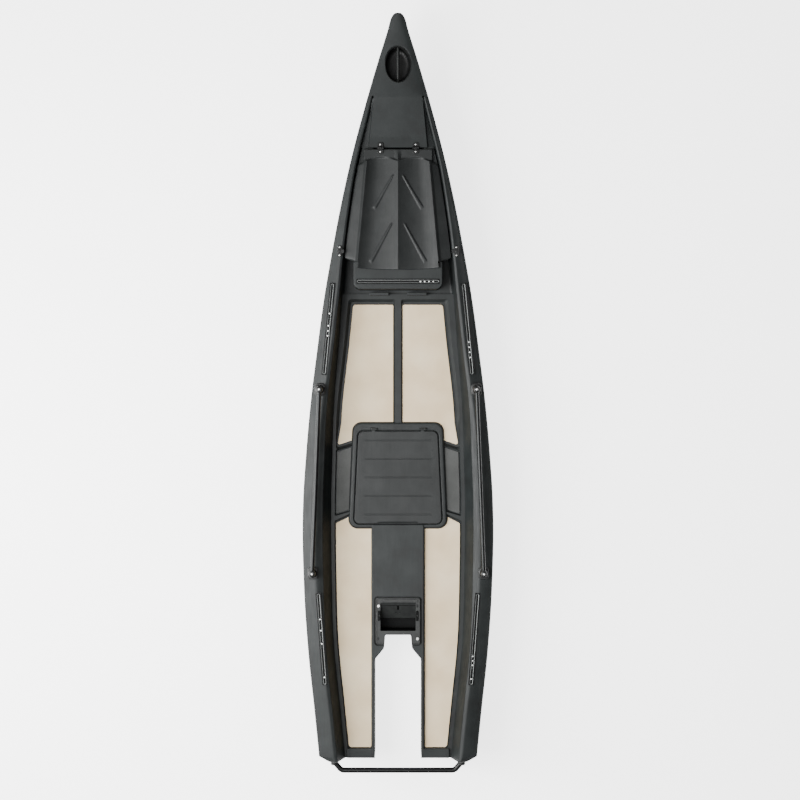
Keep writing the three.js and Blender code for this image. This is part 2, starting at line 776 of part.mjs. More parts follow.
// The ring that the front cover closes on, with the hollow dash joined behind it.
function hatchCoaming() {
  const base = floorTop + clearance;
  const ring = slab(coamingShape(0), base, coamingTop);
  const lip = slab(coamingShape(-coamingFlange), base, coamingTop + overrun);
  const bay = slab(coamingShape(-coamingWall), base - overrun, coamingTop - coamingFlangeDepth);
  const dashFront = coamingAftY + dashLap;
  const corners = (inset) => {
    const [half, front, aft] = [dashHalf - inset, dashFront - inset, dashAftY + inset];
    return [[half, front], [-half, front], [-half, aft], [half, aft]];
  };
  const dash = slab(outline(corners(0), dashRadius), base, dashTop)
    .add(block([-dashHalf, dashHalf], [dashFront - dashRadius, dashFront], [base, dashTop]));
  const dashHollow = slab(outline(corners(dashWall), dashRadius), base - overrun, dashTop - dashWall);
  const { pocket, tray } = trackSeat(dashTrackLength, dashTrack, dashTop, dashWall);
  const front = slab(coamingShape(0), coamingTop, dashTop);
  return ring.add(dash.subtract(front).subtract(dashHollow).add(tray.subtract(front)))
    .subtract(lip).subtract(bay).subtract(pocket);
}

function frontSeal() {
  return slab(coamingShape(-sealInset), coamingTop + clearance, coverRibBase - clearance)
    .subtract(slab(coamingShape(-sealInset - sealWidth), coamingTop, coverRibBase));
}

// The space under the front cover's W-shaped top, with the top shifted down by a drop. Ahead of
// the W it is level with the flange.
function underCover(drop) {
  const ring = (y) => {
    const behind = hingeY - y;
    const rise = along([[0, 0], [1, 1]], (behind - coverFlangeLength) / coverRiseLength);
    const level = (top) => mix(coverFlangeTop, top, rise) - drop;
    const aft = (behind - coverFlangeLength) / (coverLength - coverFlangeLength);
    const shoulder = mix(coverShoulderFrontHalf, coverShoulderAftHalf, aft);
    const wing = Math.max(wingEdge(y), shoulder + overrun);
    const side = [[wing, coamingTop], [wing, level(coverWingTop)],
      [shoulder, level(coverShoulderTop)], [coverValleyHalf, level(coverValleyTop)]];
    return [...side, [0, level(coverRidgeTop)], ...side.map(([x, z]) => [-x, z]).reverse()];
  };
  const flat = hingeY - coverFlangeLength;
  const raised = flat - coverRiseLength;
  return loft([flat, raised, ...stations(raised, hingeY - coverLength).slice(1)], ring);
}

// The cover's plan: a square front flange, the wings along the gunwales and a straight aft edge.
function coverShape() {
  const front = hingeY - deckEdgeFromHinge;
  const wingFront = hingeY - wingFrontFromHinge;
  const wingAft = hingeY - wingAftFromHinge;
  const side = [
    [coverFlangeHalf, front], [coverFlangeHalf, hingeY - coverFlangeLength],
    ...stations(wingFront, wingAft).map((y) => [wingEdge(y), y]),
    [coverShoulderAftHalf, wingAft - wingCornerLength], [coverShoulderAftHalf, hingeY - coverLength],
  ];
  return outline([...side, ...side.map(([x, y]) => [-x, y]).reverse()]);
}

// One raised rib of the cover's chevrons, from near the centre ridge out and aft.
function chevron(start) {
  const [near, far, w] = [chevronNearHalf, chevronFarHalf, chevronHalfWidth];
  const corners = [[near, start + w], [near, start - w], [far, start - chevronSlant - w],
    [far, start - chevronSlant + w]];
  return slab(outline(corners), coverFlangeTop - coverWall - chevronHeight,
    coverRidgeTop + overrun);
}

function frontCover() {
  const roof = coverRidgeTop + overrun;
  const flangeAft = hingeY - coverFlangeLength;
  const below = block([-hullBeam, hullBeam], [hingeY - coverLength, hingeY],
    [coamingTop - overrun, coamingTop + clearance]);
  const skin = underCover(0).subtract(underCover(coverWall).add(below))
    .intersect(slab(coverShape(), coamingTop, roof));
  const flange = block([-coverFlangeHalf, coverFlangeHalf],
    [flangeAft - coverFlangeLap, hingeY - deckEdgeFromHinge],
    [coverFlangeTop - coverWall, coverFlangeTop]);
  const underFlange = block([-coverFlangeHalf, coverFlangeHalf], [flangeAft - clearance, hingeY],
    [coamingTop, coverFlangeTop - coverWall / 2]);
  const rib = slab(coamingShape(-coverRibInset), coverRibBase, roof)
    .subtract(slab(coamingShape(-coverRibInset - coverRibWidth), coamingTop, roof + overrun))
    .intersect(underCover(coverWall / 2).add(underFlange));
  const inner = slab(taperShape(flangeAft - coverRiseLength, hingeY - coverLength,
    coverShoulderFrontHalf, coverShoulderAftHalf, 0), coamingTop, roof);
  const chevrons = [0, 1].map((i) => bothSides(chevron(hingeY - chevronFirst - i * chevronPitch)))
    .reduce((solid, pair) => solid.add(pair))
    .intersect(underCover(-chevronHeight)).intersect(inner).subtract(underCover(coverWall));
  return skin.add(flange).add(rib).add(chevrons);
}

// One leaf of a front hatch hinge. The deck leaf has the outer knuckles, the cover leaf the
// middle one.
function hingeLeaf(onDeck) {
  const side = onDeck ? 1 : -1;
  const seat = coverFlangeTop + clearance;
  const near = hingeY + side * (hingeKnuckleRadius + leafRelief);
  const far = near + side * hingeLeafLength;
  const plate = block([-hingeWidth / 2, hingeWidth / 2], [Math.min(near, far), Math.max(near, far)],
    [seat, seat + hingeLeafThickness]);
  const outer = hingeWidth / 2;
  const inner = outer - hingeKnuckleWidth;
  const spans = onDeck
    ? [[-outer, -inner], [inner, outer]]
    : [[-inner + clearance, inner - clearance]];
  const low = hingeAxisHeight - hingeKnuckleRadius;
  const arm = [Math.min(hingeY, near + side), Math.max(hingeY, near + side)];
  const solid = spans.reduce((leaf, span) => leaf
    .add(acrossRod(hingeKnuckleRadius, ...span, hingeY, hingeAxisHeight))
    .add(block(span, arm, [low, low + hingeArmHeight])), plate);
  return solid.subtract(acrossRod(hingePinRadius + clearance, -hingeWidth, hingeWidth, hingeY,
    hingeAxisHeight, pinSides));
}

function hingePin() {
  return acrossRod(hingePinRadius, -hingeWidth / 2, hingeWidth / 2, hingeY, hingeAxisHeight,
    pinSides);
}

const catchX = innerTop(catchY) + catchInset;
const tongueBottom = gunwaleHeight + clearance + catchBase + clearance;

// A catch's base on the starboard gunwale, with the headed post that its tongue turns on.
function catchSeat() {
  const seat = gunwaleHeight + clearance;
  const [w, l] = [catchWidth / 2, catchLength / 2];
  const head = tongueBottom + tongueThickness + clearance;
  return slab(outline([[w, -l], [w, l], [-w, l], [-w, -l]], w), seat, seat + catchBase)
    .add(upright(catchPostRadius, seat, head + catchHeadHeight, 0, 0, pinSides))
    .add(upright(catchHeadRadius, head, head + catchHeadHeight));
}

function catchTongue() {
  const nose = -catchInset - tongueOverhang;
  const w = tongueWidth / 2;
  return slab(outline([[nose, -w], [tongueTail, -w], [tongueTail, w], [nose, w]], w / 2),
    tongueBottom, tongueBottom + tongueThickness)
    .subtract(upright(catchPostRadius + clearance, tongueBottom - overrun,
      tongueBottom + overrun, 0, 0, pinSides));
}

// A gear track lying along Y with its top at Z 0.
function gearTrack(length) {
  const [half, slot, cavity] = [trackWidth / 2, trackSlot / 2, trackCavity / 2];
  const floor = -trackLip - trackCavityDepth;
  const starboard = [[half, -trackDepth], [half, 0], [slot, 0], [slot, -trackLip],
    [cavity, -trackLip], [cavity, floor]];
  const section = outline([...starboard, ...starboard.map(([x, z]) => [-x, z]).reverse()]);
  const geometry = new THREE.ExtrudeGeometry(section, { depth: length, bevelEnabled: false });
  return solidOf(geometry.rotateX(Math.PI / 2).translate(0, length / 2, 0));
}

// A strip of slot nuts in a track, with one raised boss for each screw.
function nutStrip(count, pitch) {
  const top = -trackLip - clearance;
  const run = ((count - 1) * pitch) / 2;
  const strip = block([-nutWidth / 2, nutWidth / 2], [-run - nutEnd, run + nutEnd],
    [top - nutHeight, top]);
  return Array.from({ length: count }, (_, i) =>
    upright(nutBossRadius, top - nutHeight / 2, 0, 0, i * pitch - run, pinSides))
    .reduce((solid, boss) => solid.add(boss), strip);
}

function centerLid() {
  const base = ledgeHeight + clearance + hatchSealHeight + clearance;
  const [y, z] = [lidFrontY + lidHingeFront, lidAxisHeight];
  const shell = slab(lidShape(0), base, lidTop)
    .subtract(slab(lidShape(-lidWall), base - overrun, lidTop - lidWall));
  const grooveHalf = lidFrontHalf - lidGrooveMargin;
  const pitch = lidLength / lidGrooveCount;
  const grooves = Array.from({ length: lidGrooveCount }, (_, i) => {
    const front = lidFrontY - (i + 1 / 2) * pitch + lidGrooveWidth / 2;
    return block([-grooveHalf, grooveHalf], [front - lidGrooveWidth, front],
      [lidTop - lidGrooveDepth, lidTop + overrun]);
  });
  const low = z - hingeKnuckleRadius;
  const knuckles = [lidHingeSpread, -lidHingeSpread].map((x) => {
    const span = [x - lidKnuckleWidth / 2, x + lidKnuckleWidth / 2];
    return acrossRod(hingeKnuckleRadius, ...span, y, z)
      .add(block(span, [lidFrontY - lidArmLap, y], [low, low + lidArmHeight]));
  });
  const bore = acrossRod(hingePinRadius + clearance, -hullBeam / 2, hullBeam / 2, y, z, pinSides);
  return knuckles.reduce((solid, knuckle) => solid.add(knuckle),
    grooves.reduce((solid, groove) => solid.subtract(groove), shell)).subtract(bore);
}

function centerSeal() {
  const base = ledgeHeight + clearance;
  return slab(lidShape(-hatchSealInset), base, base + hatchSealHeight)
    .subtract(slab(lidShape(-ledgeWidth + hatchSealInset), base - overrun, base + overrun));
}

function lidPin(x) {
  const half = lidKnuckleWidth / 2 + clearance + lidEarWidth;
  return acrossRod(hingePinRadius, x - half, x + half, lidFrontY + lidHingeFront, lidAxisHeight,
    pinSides);
}

// The starboard pads. Each outer edge follows the cockpit wall's foot.
const padBase = floorTop + clearance;
const padOf = (corners) => slab(outline(corners, padRadius), padBase, padBase + padThickness)
  .subtract(slab(rimShape(padGap), floorHeight, rimTop));

function frontPad() {
  const front = dashAftY - frontPadSetback;
  const aft = rimFrontY - frontPadAftFromRim;
  const inner = ribHalf + padGap;
  const outer = [front, (front + rimFrontY) / 2, rimFrontY]
    .map((y) => [innerFoot(y) - frontPadMargin, y]);
  return padOf([
    [inner, front], ...outer, [innerFoot(aft) - sidePadMargin, aft],
    [lidFrontHalf, aft + frontPadSlant], [inner, aft + frontPadSlant],
  ]);
}

function sidePad() {
  const front = rimFrontY - sidePadFront;
  const aft = rimFrontY - sidePadAft;
  return padOf([
    [innerFoot(front) - sidePadMargin, front], [innerFoot(aft) - sidePadMargin, aft],
    [lidFrontHalf, aft + sidePadSlant], [lidFrontHalf, front + sidePadSlant],
  ]);
}

function rearPad() {
  const front = rimFrontY - rearPadFront;
  const aft = sternY + sillLength + padGap;
  const inner = spineHalf + padGap;
  const outer = Array.from({ length: rearPadStations + 1 }, (_, i) => {
    const y = mix(front, aft, i / rearPadStations);
    return [innerFoot(y) - rearPadMargin, y];
  });
  return padOf([...outer, [inner, aft], [inner, front - rearPadSlant]]);
}

// The two corners of the drive plate that are bolted down.
function boltPlaces() {
  const x = driveHalf - boltFromSide;
  return [[-x, driveFrontY - boltFromFront], [x, driveAftY + boltFromAft]];
}

function driveMount() {
  const base = spineTop + clearance;
  const top = base + drivePlate;
  const pocketFloor = base - pocketDepth;
  const [half, front, aft] = [driveHalf, driveFrontY, driveAftY];
  const plan = outline([[half, front], [-half, front], [-half, aft], [half, aft]], driveRadius);
  const outer = block([-pocketHalf - pocketWall, pocketHalf + pocketWall],
    [pocketAftY - pocketWall, pocketFrontY + pocketWall], [pocketFloor, top - drivePlate / 2]);
  const slopeAft = pocketFrontY - pocketFrontSlope;
  const pit = loft([pocketFrontY, slopeAft, pocketAftY], (y) => {
    const [low, high] = [y === pocketFrontY ? base : pocketFloor + pocketWall, top + overrun];
    return [[pocketHalf, low], [pocketHalf, high], [-pocketHalf, high], [-pocketHalf, low]];
  });
  const port = block([-pocketPortHalf, pocketPortHalf],
    [pocketAftY - overrun, slopeAft - pocketFrontSlope],
    [pocketFloor - overrun, pocketFloor + overrun / 2]);
  const holes = [driveFrontY - boltFromFront, driveAftY + boltFromAft].map((y) =>
    bothSides(upright(boltRadius + screwClearance, base - overrun, top + overrun,
      driveHalf - boltFromSide, y, pinSides)));
  const posts = bothSides(upright(latchPostRadius, base, top + clearance + latchHeight, latchSpread,
    driveFrontY - latchFromFront, pinSides));
  return [pit, port, slab(slotShape(0), base - overrun, top + overrun), ...holes]
    .reduce((solid, cut) => solid.subtract(cut), slab(plan, base, top).add(outer).add(posts));
}

function driveLatch() {
  const base = spineTop + clearance + drivePlate + clearance;
  const [w, l] = [latchWidth / 2, latchLength / 2];
  return slab(outline([[w, -l], [w, l], [-w, l], [-w, -l]], w), base, base + latchHeight)
    .subtract(upright(latchPostRadius + clearance, base - overrun, base + overrun, 0, 0, pinSides));
}

function mountBolt() {
  const seat = spineTop + clearance + drivePlate + clearance;
  return upright(boltHeadRadius, seat, seat + boltHeadHeight, 0, 0, boltHeadSides)
    .add(upright(boltRadius, seat - boltLength, seat + boltHeadHeight / 2, 0, 0, pinSides));
}

// A rail's run between its two mounts, from astern.
const railEnds = [railAftFromBow, railFrontFromBow].map((fromBow) => {
  const y = bowY - fromBow;
  return new THREE.Vector2(mix(innerTop(y), halfBeam(y), railAcrossShare), y);
});
const railRun = railEnds[1].clone().sub(railEnds[0]);
const railTurn = Math.atan2(-railRun.x, railRun.y);

function railMount() {
  const seat = gunwaleHeight + clearance;
  const [w, l] = [railBaseWidth / 2, railBaseLength / 2];
  const axis = gunwaleHeight + railRise;
  const base = slab(outline([[w, -l], [w, l], [-w, l], [-w, -l]], railBaseHeight), seat,
    seat + railBaseHeight);
  const boss = upright(railBossRadius, seat, gunwaleHeight + railBossTop);
  const socket = lengthwiseRod(railRadius + clearance, railBossRadius - railSocketDepth,
    railBaseLength, 0, axis);
  return base.add(boss).subtract(socket);
}

function rail() {
  const reach = railRun.length() / 2 - railBossRadius + railSocketDepth - clearance;
  return lengthwiseRod(railRadius, -reach, reach, 0, gunwaleHeight + railRise);
}

// A round tube between two points at one height.
function tubeBetween(radius, [x0, y0], [x1, y1], z) {
  const run = new THREE.Vector2(x1 - x0, y1 - y0);
  const tube = new THREE.CylinderGeometry(radius, radius, run.length(), bossSides)
    .rotateZ(Math.atan2(-run.x, run.y));
  return solidOf(tube.translate((x0 + x1) / 2, (y0 + y1) / 2, z));
}

function ball(radius, [x, y], z) {
  const sphere = new THREE.SphereGeometry(radius, bossSides, bossSides / 2);
  return solidOf(sphere.translate(x, y, z));
}

// The stern bar: a round tube with a 45 degree elbow at each end, as seen from above.
function sternBar() {
  const [r, z] = [sternBarRadius, sternBarHeight];
  const back = sternY - sternBarReach + r;
  const mouth = [sternBarHalf, sternY - clearance - sternSocketFloor - clearance];
  const elbow = [sternBarHalf, back + sternElbow];
  const turn = [sternBarHalf - sternElbow, back];
  const side = tubeBetween(r, mouth, elbow, z).add(ball(r, elbow, z))
    .add(tubeBetween(r, elbow, turn, z)).add(ball(r, turn, z));
  return bothSides(side).add(tubeBetween(r, turn, [-turn[0], turn[1]], z));
}

function sternSocket() {
  const front = sternY - clearance;
  const aft = front - sternSocketLength;
  return lengthwiseRod(sternSocketRadius, aft, front, sternBarHalf, sternBarHeight)
    .subtract(lengthwiseRod(sternBarRadius + clearance, aft - overrun, front - sternSocketFloor,
      sternBarHalf, sternBarHeight));
}

function drainPlug() {
  const face = sternY - clearance;
  const [x, z] = [drainAcross, drainHeight];
  return lengthwiseRod(drainRadius, face - drainHeadHeight / 2, face + drainLength, x, z)
    .add(lengthwiseRod(drainHeadRadius, face - drainHeadHeight, face, x, z))
    .add(block([x - drainHeadRadius / 2, x + drainHeadRadius / 2],
      [face - drainHeadHeight - drainGripHeight, face - drainHeadHeight / 2],
      [z - drainGripWidth / 2, z + drainGripWidth / 2]));
}

place('hull_shell', hullShell(), hullPlastic);
place('cockpit_floor', cockpitFloor(), hullPlastic);
place('starboard_gunwale', gunwale(), hullPlastic);
place('port_gunwale', mirrored(gunwale()), hullPlastic);
place('bow_deck', bowDeck(), hullPlastic);
place('bow_handle', bowHandle(), blackPlastic);
place('hatch_coaming', hatchCoaming(), hullPlastic);
place('front_hatch_seal', frontSeal(), softRubber);
place('front_hatch_cover', frontCover(), hatchPlastic);
place('center_hatch_seal', centerSeal(), softRubber);
place('center_hatch_lid', centerLid(), hatchPlastic);
place('drive_mount', driveMount(), blackPlastic);
place('stern_bar', sternBar(), blackMetal);
place('drain_plug', drainPlug(), blackPlastic);

for (const [side, sign] of [['starboard', 1], ['port', -1]]) {
  const own = (solid) => (sign > 0 ? solid : mirrored(solid));
  const hinge = new THREE.Group();
  hinge.position.x = sign * hingeSpread;
  kayak.add(hinge);
  place(`${side}_hinge_deck_leaf`, hingeLeaf(true), blackPlastic, hinge);
  place(`${side}_hinge_cover_leaf`, hingeLeaf(false), blackPlastic, hinge);
  place(`${side}_hinge_pin`, hingePin(), stainless, hinge);
  place(`${side}_lid_pin`, lidPin(sign * lidHingeSpread), stainless);

  const catchGroup = new THREE.Group();
  catchGroup.position.set(sign * catchX, catchY, 0);
  kayak.add(catchGroup);
  place(`${side}_catch_base`, own(catchSeat()), blackPlastic, catchGroup);
  place(`${side}_catch_tongue`, own(catchTongue()), blackPlastic, catchGroup);

  place(`${side}_front_pad`, own(frontPad()), deckFoam);
  place(`${side}_side_pad`, own(sidePad()), sideFoam);
  place(`${side}_rear_pad`, own(rearPad()), deckFoam);

  const latch = place(`${side}_mount_latch`, driveLatch(), blackPlastic);
  latch.position.set(sign * latchSpread, driveFrontY - latchFromFront, 0);

  const railGroup = new THREE.Group();
  const middle = railEnds[0].clone().add(railEnds[1]).divideScalar(2);
  railGroup.position.set(sign * middle.x, middle.y, 0);
  railGroup.rotation.z = sign * railTurn;
  kayak.add(railGroup);
  place(`${side}_rail`, rail(), blackMetal, railGroup);
  const aftMount = place(`${side}_rail_aft_mount`, railMount(), blackPlastic, railGroup);
  aftMount.position.y = -railRun.length() / 2;
  const frontMount = place(`${side}_rail_front_mount`, railMount(), blackPlastic, railGroup);
  frontMount.position.y = railRun.length() / 2;
  frontMount.rotation.z = Math.PI;

  place(`${side}_bar_socket`, own(sternSocket()), blackPlastic);
}

boltPlaces().forEach(([x, y], i) => {
  const bolt = place(['port', 'starboard'][i] + '_mount_bolt', mountBolt(), stainless);
  bolt.position.set(x, y, 0);
});

// A gear track in its pocket, with its strips of nuts.
function fitTrack(name, length, { x, y, turn }, top, pitch, strips) {
  const carrier = new THREE.Group();
  carrier.position.set(x, y, top);
  carrier.rotation.z = turn;
  kayak.add(carrier);
  place(name, gearTrack(length), blackMetal, carrier);
  for (const strip of strips) {
    const nuts = place(strip, nutStrip(nutCounts[strip] ?? 1, pitch), stainless, carrier);
    nuts.position.y = (nutShares[strip] * length) / 2;
  }
}

const onPort = ({ x, y, turn }) => ({ x: -x, y, turn: -turn });

fitTrack('dash_track', dashTrackLength, dashTrack, dashTop, dashNutPitch, ['dash_track_nuts']);
fitTrack('starboard_front_track', trackLength, frontTrack, gunwaleHeight, frontNutPitch,
  ['starboard_front_nuts']);
fitTrack('port_front_track', trackLength, onPort(frontTrack), gunwaleHeight, frontNutPitch,
  ['port_front_nut', 'port_front_nuts']);
fitTrack('starboard_rear_track', trackLength, rearTrack, gunwaleHeight, rearNutPitch,
  ['starboard_rear_nuts', 'starboard_rear_nut']);
fitTrack('port_rear_track', trackLength, onPort(rearTrack), gunwaleHeight, rearNutPitch,
  [1, 2, 3, 4].map((i) => `port_rear_nut_${i}`));

export default kayak;
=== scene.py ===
import json
import math

import bmesh
import bpy
import numpy as np
from mathutils import Matrix, Vector


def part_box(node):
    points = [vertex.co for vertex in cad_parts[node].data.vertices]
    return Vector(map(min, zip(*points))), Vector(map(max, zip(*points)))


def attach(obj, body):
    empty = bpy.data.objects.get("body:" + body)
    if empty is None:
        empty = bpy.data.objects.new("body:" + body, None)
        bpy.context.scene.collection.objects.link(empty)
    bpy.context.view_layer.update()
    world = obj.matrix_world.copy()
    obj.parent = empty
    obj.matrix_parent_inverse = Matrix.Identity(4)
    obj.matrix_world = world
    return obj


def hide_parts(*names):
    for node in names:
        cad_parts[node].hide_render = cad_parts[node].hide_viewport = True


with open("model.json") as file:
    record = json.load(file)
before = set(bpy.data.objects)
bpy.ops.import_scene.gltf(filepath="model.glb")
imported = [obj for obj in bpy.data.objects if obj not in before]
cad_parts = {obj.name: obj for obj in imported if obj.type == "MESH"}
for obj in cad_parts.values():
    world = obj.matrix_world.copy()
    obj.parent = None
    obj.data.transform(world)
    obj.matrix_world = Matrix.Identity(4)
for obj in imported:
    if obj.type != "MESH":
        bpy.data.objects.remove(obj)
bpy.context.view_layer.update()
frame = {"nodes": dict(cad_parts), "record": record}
print("frame loaded:", len(frame["nodes"]), "nodes")

mm = 0.001  # one millimetre in metres; shapes are worked out in millimetres
clearance = 0.3  # between neighbours that touch
past = 20  # how far a cutting shape reaches past what it cuts
boatSides = (("starboard", 1), ("port", -1))
toPort = (-1, 1, 1)
bodyOf = {node: body for body, nodes in frame["record"]["behaviour"]["bodies"].items() for node in nodes}


def boxOf(nodeName):
    low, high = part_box(nodeName)
    return np.array(low) / mm, np.array(high) / mm


def middleOf(node):
    low, high = boxOf(node)
    return (low + high) / 2


# The boat's own places, from the frame
hullLow, hullHigh = boxOf("hull_shell")
bowY, sternY, seamZ, beam = hullHigh[1], hullLow[1], hullHigh[2], 2 * hullHigh[0]
hullLength = bowY - sternY
deckZ = boxOf("starboard_front_track")[1][2]
floorZ = boxOf("starboard_front_pad")[0][2] - clearance
dashY = boxOf("hatch_coaming")[0][1]
driveLow, driveHigh = boxOf("drive_mount")

# Lines of the boat: shares of the length from the bow with shares of a size, as the hull has them
lines = {
    "beamShares": [
        (0, 0.032), (0.002, 0.054), (0.0067, 0.076), (0.02, 0.105), (0.06, 0.205), (0.114, 0.33),
        (0.18, 0.469), (0.247, 0.589), (0.314, 0.69), (0.381, 0.78), (0.448, 0.85), (0.515, 0.913),
        (0.582, 0.96), (0.648, 0.993), (0.69, 1), (0.769, 0.984), (0.849, 0.943), (0.93, 0.877), (1, 0.822)],
    "gunwaleShares": [
        (0.1, 0.24), (0.15, 0.31), (0.194, 0.33), (0.247, 0.43), (0.314, 0.58), (0.381, 0.76),
        (0.448, 0.82), (0.515, 0.83), (0.62, 0.96), (0.69, 1), (0.77, 0.97), (0.85, 0.91), (1, 0.9)],
    "fullnessShares": [(0, 0), (0.1, 0), (0.4, 1), (1, 1)],
    "tunnelShares": [(0, 0), (0.45, 0), (0.62, 1), (1, 1)],
    # share of the half beam, height for a vee and for a flat bottom, share of the tunnel
    "sectionShares": [
        (0, 0, 0, 1), (0.22, 0.09, 0, 0.8), (0.4, 0.2, 0, 0), (0.66, 0.4, 0, 0),
        (0.86, 0.6, 0.16, 0), (0.97, 0.84, 0.5, 0), (1, 1, 1, 0)],
    "gunwaleWidth": 100, "gunwaleDraft": 40, "tunnelHeight": 60, "shellWall": 6,
    "bowRise": (40, 560), "stemRise": (190, 900),  # height and length of the deck's and keel's rise
    "sternCorner": (48, 26), "steepWallRun": 12, "wallEaseLength": 560,
}


def along(table, place):
    # cubic Hermite curve through the table, each slope the harmonic mean of the two secants
    table = np.asarray(table, float)
    xs, ys = table[:, 0], table[:, 1]
    secant = np.diff(ys) / np.diff(xs)
    before, after = secant[:-1], secant[1:]
    total = np.where(before + after == 0, 1, before + after)
    inner = np.where(before * after > 0, 2 * before * after / total, 0)
    slope = np.concatenate([secant[:1], inner, secant[-1:]])
    held = np.clip(place, xs[0], xs[-1])
    k = np.clip(np.searchsorted(xs, held, side="right") - 1, 0, len(xs) - 2)
    span = xs[k + 1] - xs[k]
    u = (held - xs[k]) / span
    bend = span * u * (1 - u)
    return mix(ys[k], ys[k + 1], ease(u)) + bend * (slope[k] * (1 - u) - slope[k + 1] * u)


def shareAt(table, y):
    return along(table, (bowY - y) / hullLength)


def mix(start, end, share):
    return start + (end - start) * share


def ramp(value, low, high):
    # 0 below low, 1 above high and a straight line between
    return np.clip((value - low) / (high - low), 0, 1)


def ease(share):
    return share * share * (3 - 2 * share)


def halfBeam(y):
    return beam / 2 * shareAt(lines["beamShares"], y)


def edge(y):
    # the half beam, drawn in along a straight line at the stern's corner
    width, length = lines["sternCorner"]
    return halfBeam(y) - width * (1 - ramp(y - sternY, 0, length))


def innerTop(y):
    return halfBeam(y) - lines["gunwaleWidth"] * shareAt(lines["gunwaleShares"], y)


def innerFoot(y):
    return innerTop(y) - lines["gunwaleDraft"] * shareAt(lines["gunwaleShares"], y)


def wallFoot(y):
    # the wall stands steeper by the dash than the frame's plain one, and meets it by the centre hatch
    steep = 1 - ramp(dashY - y, 0, lines["wallEaseLength"])
    return mix(innerFoot(y), innerTop(y) - lines["steepWallRun"], steep)


def bowRise(y, key):
    # a parabola from the bow down to nothing at its length
    height, length = lines[key]
    return height * (1 - ramp(bowY - y, 0, length)) ** 2


def deckTop(y):
    return deckZ + bowRise(y, "bowRise")


# Shapes, each a pair of points in millimetres and faces
def gridFaces(rows, columns, wrapRows=False, wrapColumns=True):
    # four corners of each cell of a grid, numbered row by row
    i = np.arange(rows if wrapRows else rows - 1)[:, None]
    j = np.arange(columns if wrapColumns else columns - 1)[None, :]
    i2, j2 = (i + 1) % rows, (j + 1) % columns
    cells = [i * columns + j, i * columns + j2, i2 * columns + j2, i2 * columns + j]
    return np.stack(cells, axis=-1).reshape(-1, 4)


def ringsMesh(rings, wrapRows=False):
    # closed rings joined one to the next, with the first and last closed by a face
    rings = np.asarray(rings, float)
    rows, columns = rings.shape[:2]
    faces = gridFaces(rows, columns, wrapRows).tolist()
    if not wrapRows:
        faces += [list(range(columns)), list(range((rows - 1) * columns, rows * columns))]
    return rings.reshape(-1, 3), faces


def quarter(radius, steps=4):
    # (drawn in, below the top) along a quarter circle, from the side to the top
    angles = np.linspace(0, math.pi / 2, steps + 1)
    return [(radius * (1 - math.cos(angle)), radius * (1 - math.sin(angle))) for angle in angles]


def rounded(corners, radii=0, steps=6):
    # a plan of (x, y) corners with an arc of the given radius at each
    corners = np.asarray(corners, float)
    radii = np.broadcast_to(radii, len(corners))
    points = []
    for k, corner in enumerate(corners):
        a, b = corners[k - 1] - corner, corners[(k + 1) % len(corners)] - corner
        lengthA, lengthB = np.linalg.norm(a), np.linalg.norm(b)
        a, b = a / lengthA, b / lengthB
        half = math.acos(np.clip(a @ b, -1, 1)) / 2
        reach = min(radii[k] / math.tan(half), lengthA * 0.49, lengthB * 0.49)
        radius = reach * math.tan(half)
        if radius < 0.01:
            points.append(corner)
            continue
        middle = corner + (a + b) / np.linalg.norm(a + b) * radius / math.sin(half)
        start, end = corner + a * reach - middle, corner + b * reach - middle
        angles = np.linspace(0, math.atan2(start[0] * end[1] - start[1] * end[0], start @ end), steps + 1)
        cos, sin = np.cos(angles), np.sin(angles)
        x, y = start
        points += list(middle + np.stack([x * cos - y * sin, x * sin + y * cos], 1))
    return np.array(points)


def oblong(half, low, high, radii=0, steps=6):
    # a rounded rectangle about the middle line, its radii from low starboard round to low port
    return rounded([(half, low), (half, high), (-half, high), (-half, low)], radii, steps)


def stadium(half, reach):
    # a slot with round ends
    return oblong(half, -reach, reach, half * 0.98, 8)


def inset(plan, distance):
    # the plan drawn in, each point along the mean of its two sides' normals
    if distance == 0:
        return plan
    ahead = np.roll(plan, -1, 0) - plan
    length = np.linalg.norm(ahead, axis=1)
    good = length > 1e-6
    unit = np.where(good[:, None], ahead / np.where(good, length, 1)[:, None], 0)
    for _ in range(8):  # a point that lies on its neighbour takes the neighbour's direction
        unit = np.where(good[:, None], unit, np.roll(unit, -1, 0))
        good = good | np.roll(good, -1)
    both = unit + np.roll(unit, 1, 0)
    area = np.sum(plan[:, 0] * np.roll(plan[:, 1], -1) - plan[:, 1] * np.roll(plan[:, 0], -1))
    turn = 1 if area > 0 else -1
    normal = turn * np.stack([-both[:, 1], both[:, 0]], 1)
    normal /= np.maximum(np.linalg.norm(normal, axis=1), 1e-6)[:, None]
    straight = turn * np.stack([-unit[:, 1], unit[:, 0]], 1)
    stretch = np.clip(np.sum(normal * straight, axis=1), 0.4, 1)
    return plan + normal * (distance / stretch)[:, None]


def dense(plan, count):
    # the plan with that many points, evenly apart
    closed = np.concatenate([plan, plan[:1]])
    run = np.concatenate([[0], np.cumsum(np.linalg.norm(np.diff(closed, axis=0), axis=1))])
    place = np.linspace(0, run[-1], count, endpoint=False)
    return np.column_stack([np.interp(place, run, closed[:, k]) for k in (0, 1)])


def lifted(plan, z):
    return np.column_stack([plan, np.broadcast_to(z, len(plan))])


def stacked(levels, wrapRows=False):
    # plans, each at its height, joined one to the next
    return ringsMesh([lifted(plan, z) for plan, z in levels], wrapRows)


def slab(plan, bottom, top, radius=0, steps=4):
    # the plan carried up from bottom to top, its upper edge rounded
    upper = quarter(radius, steps) if radius else [(0, 0)]
    return stacked([(plan, bottom)] + [(inset(plan, drawn), top - down) for drawn, down in upper])


def box(xs, ys, zs):
    return slab(np.array([(xs[0], ys[0]), (xs[1], ys[0]), (xs[1], ys[1]), (xs[0], ys[1])], float), *zs)


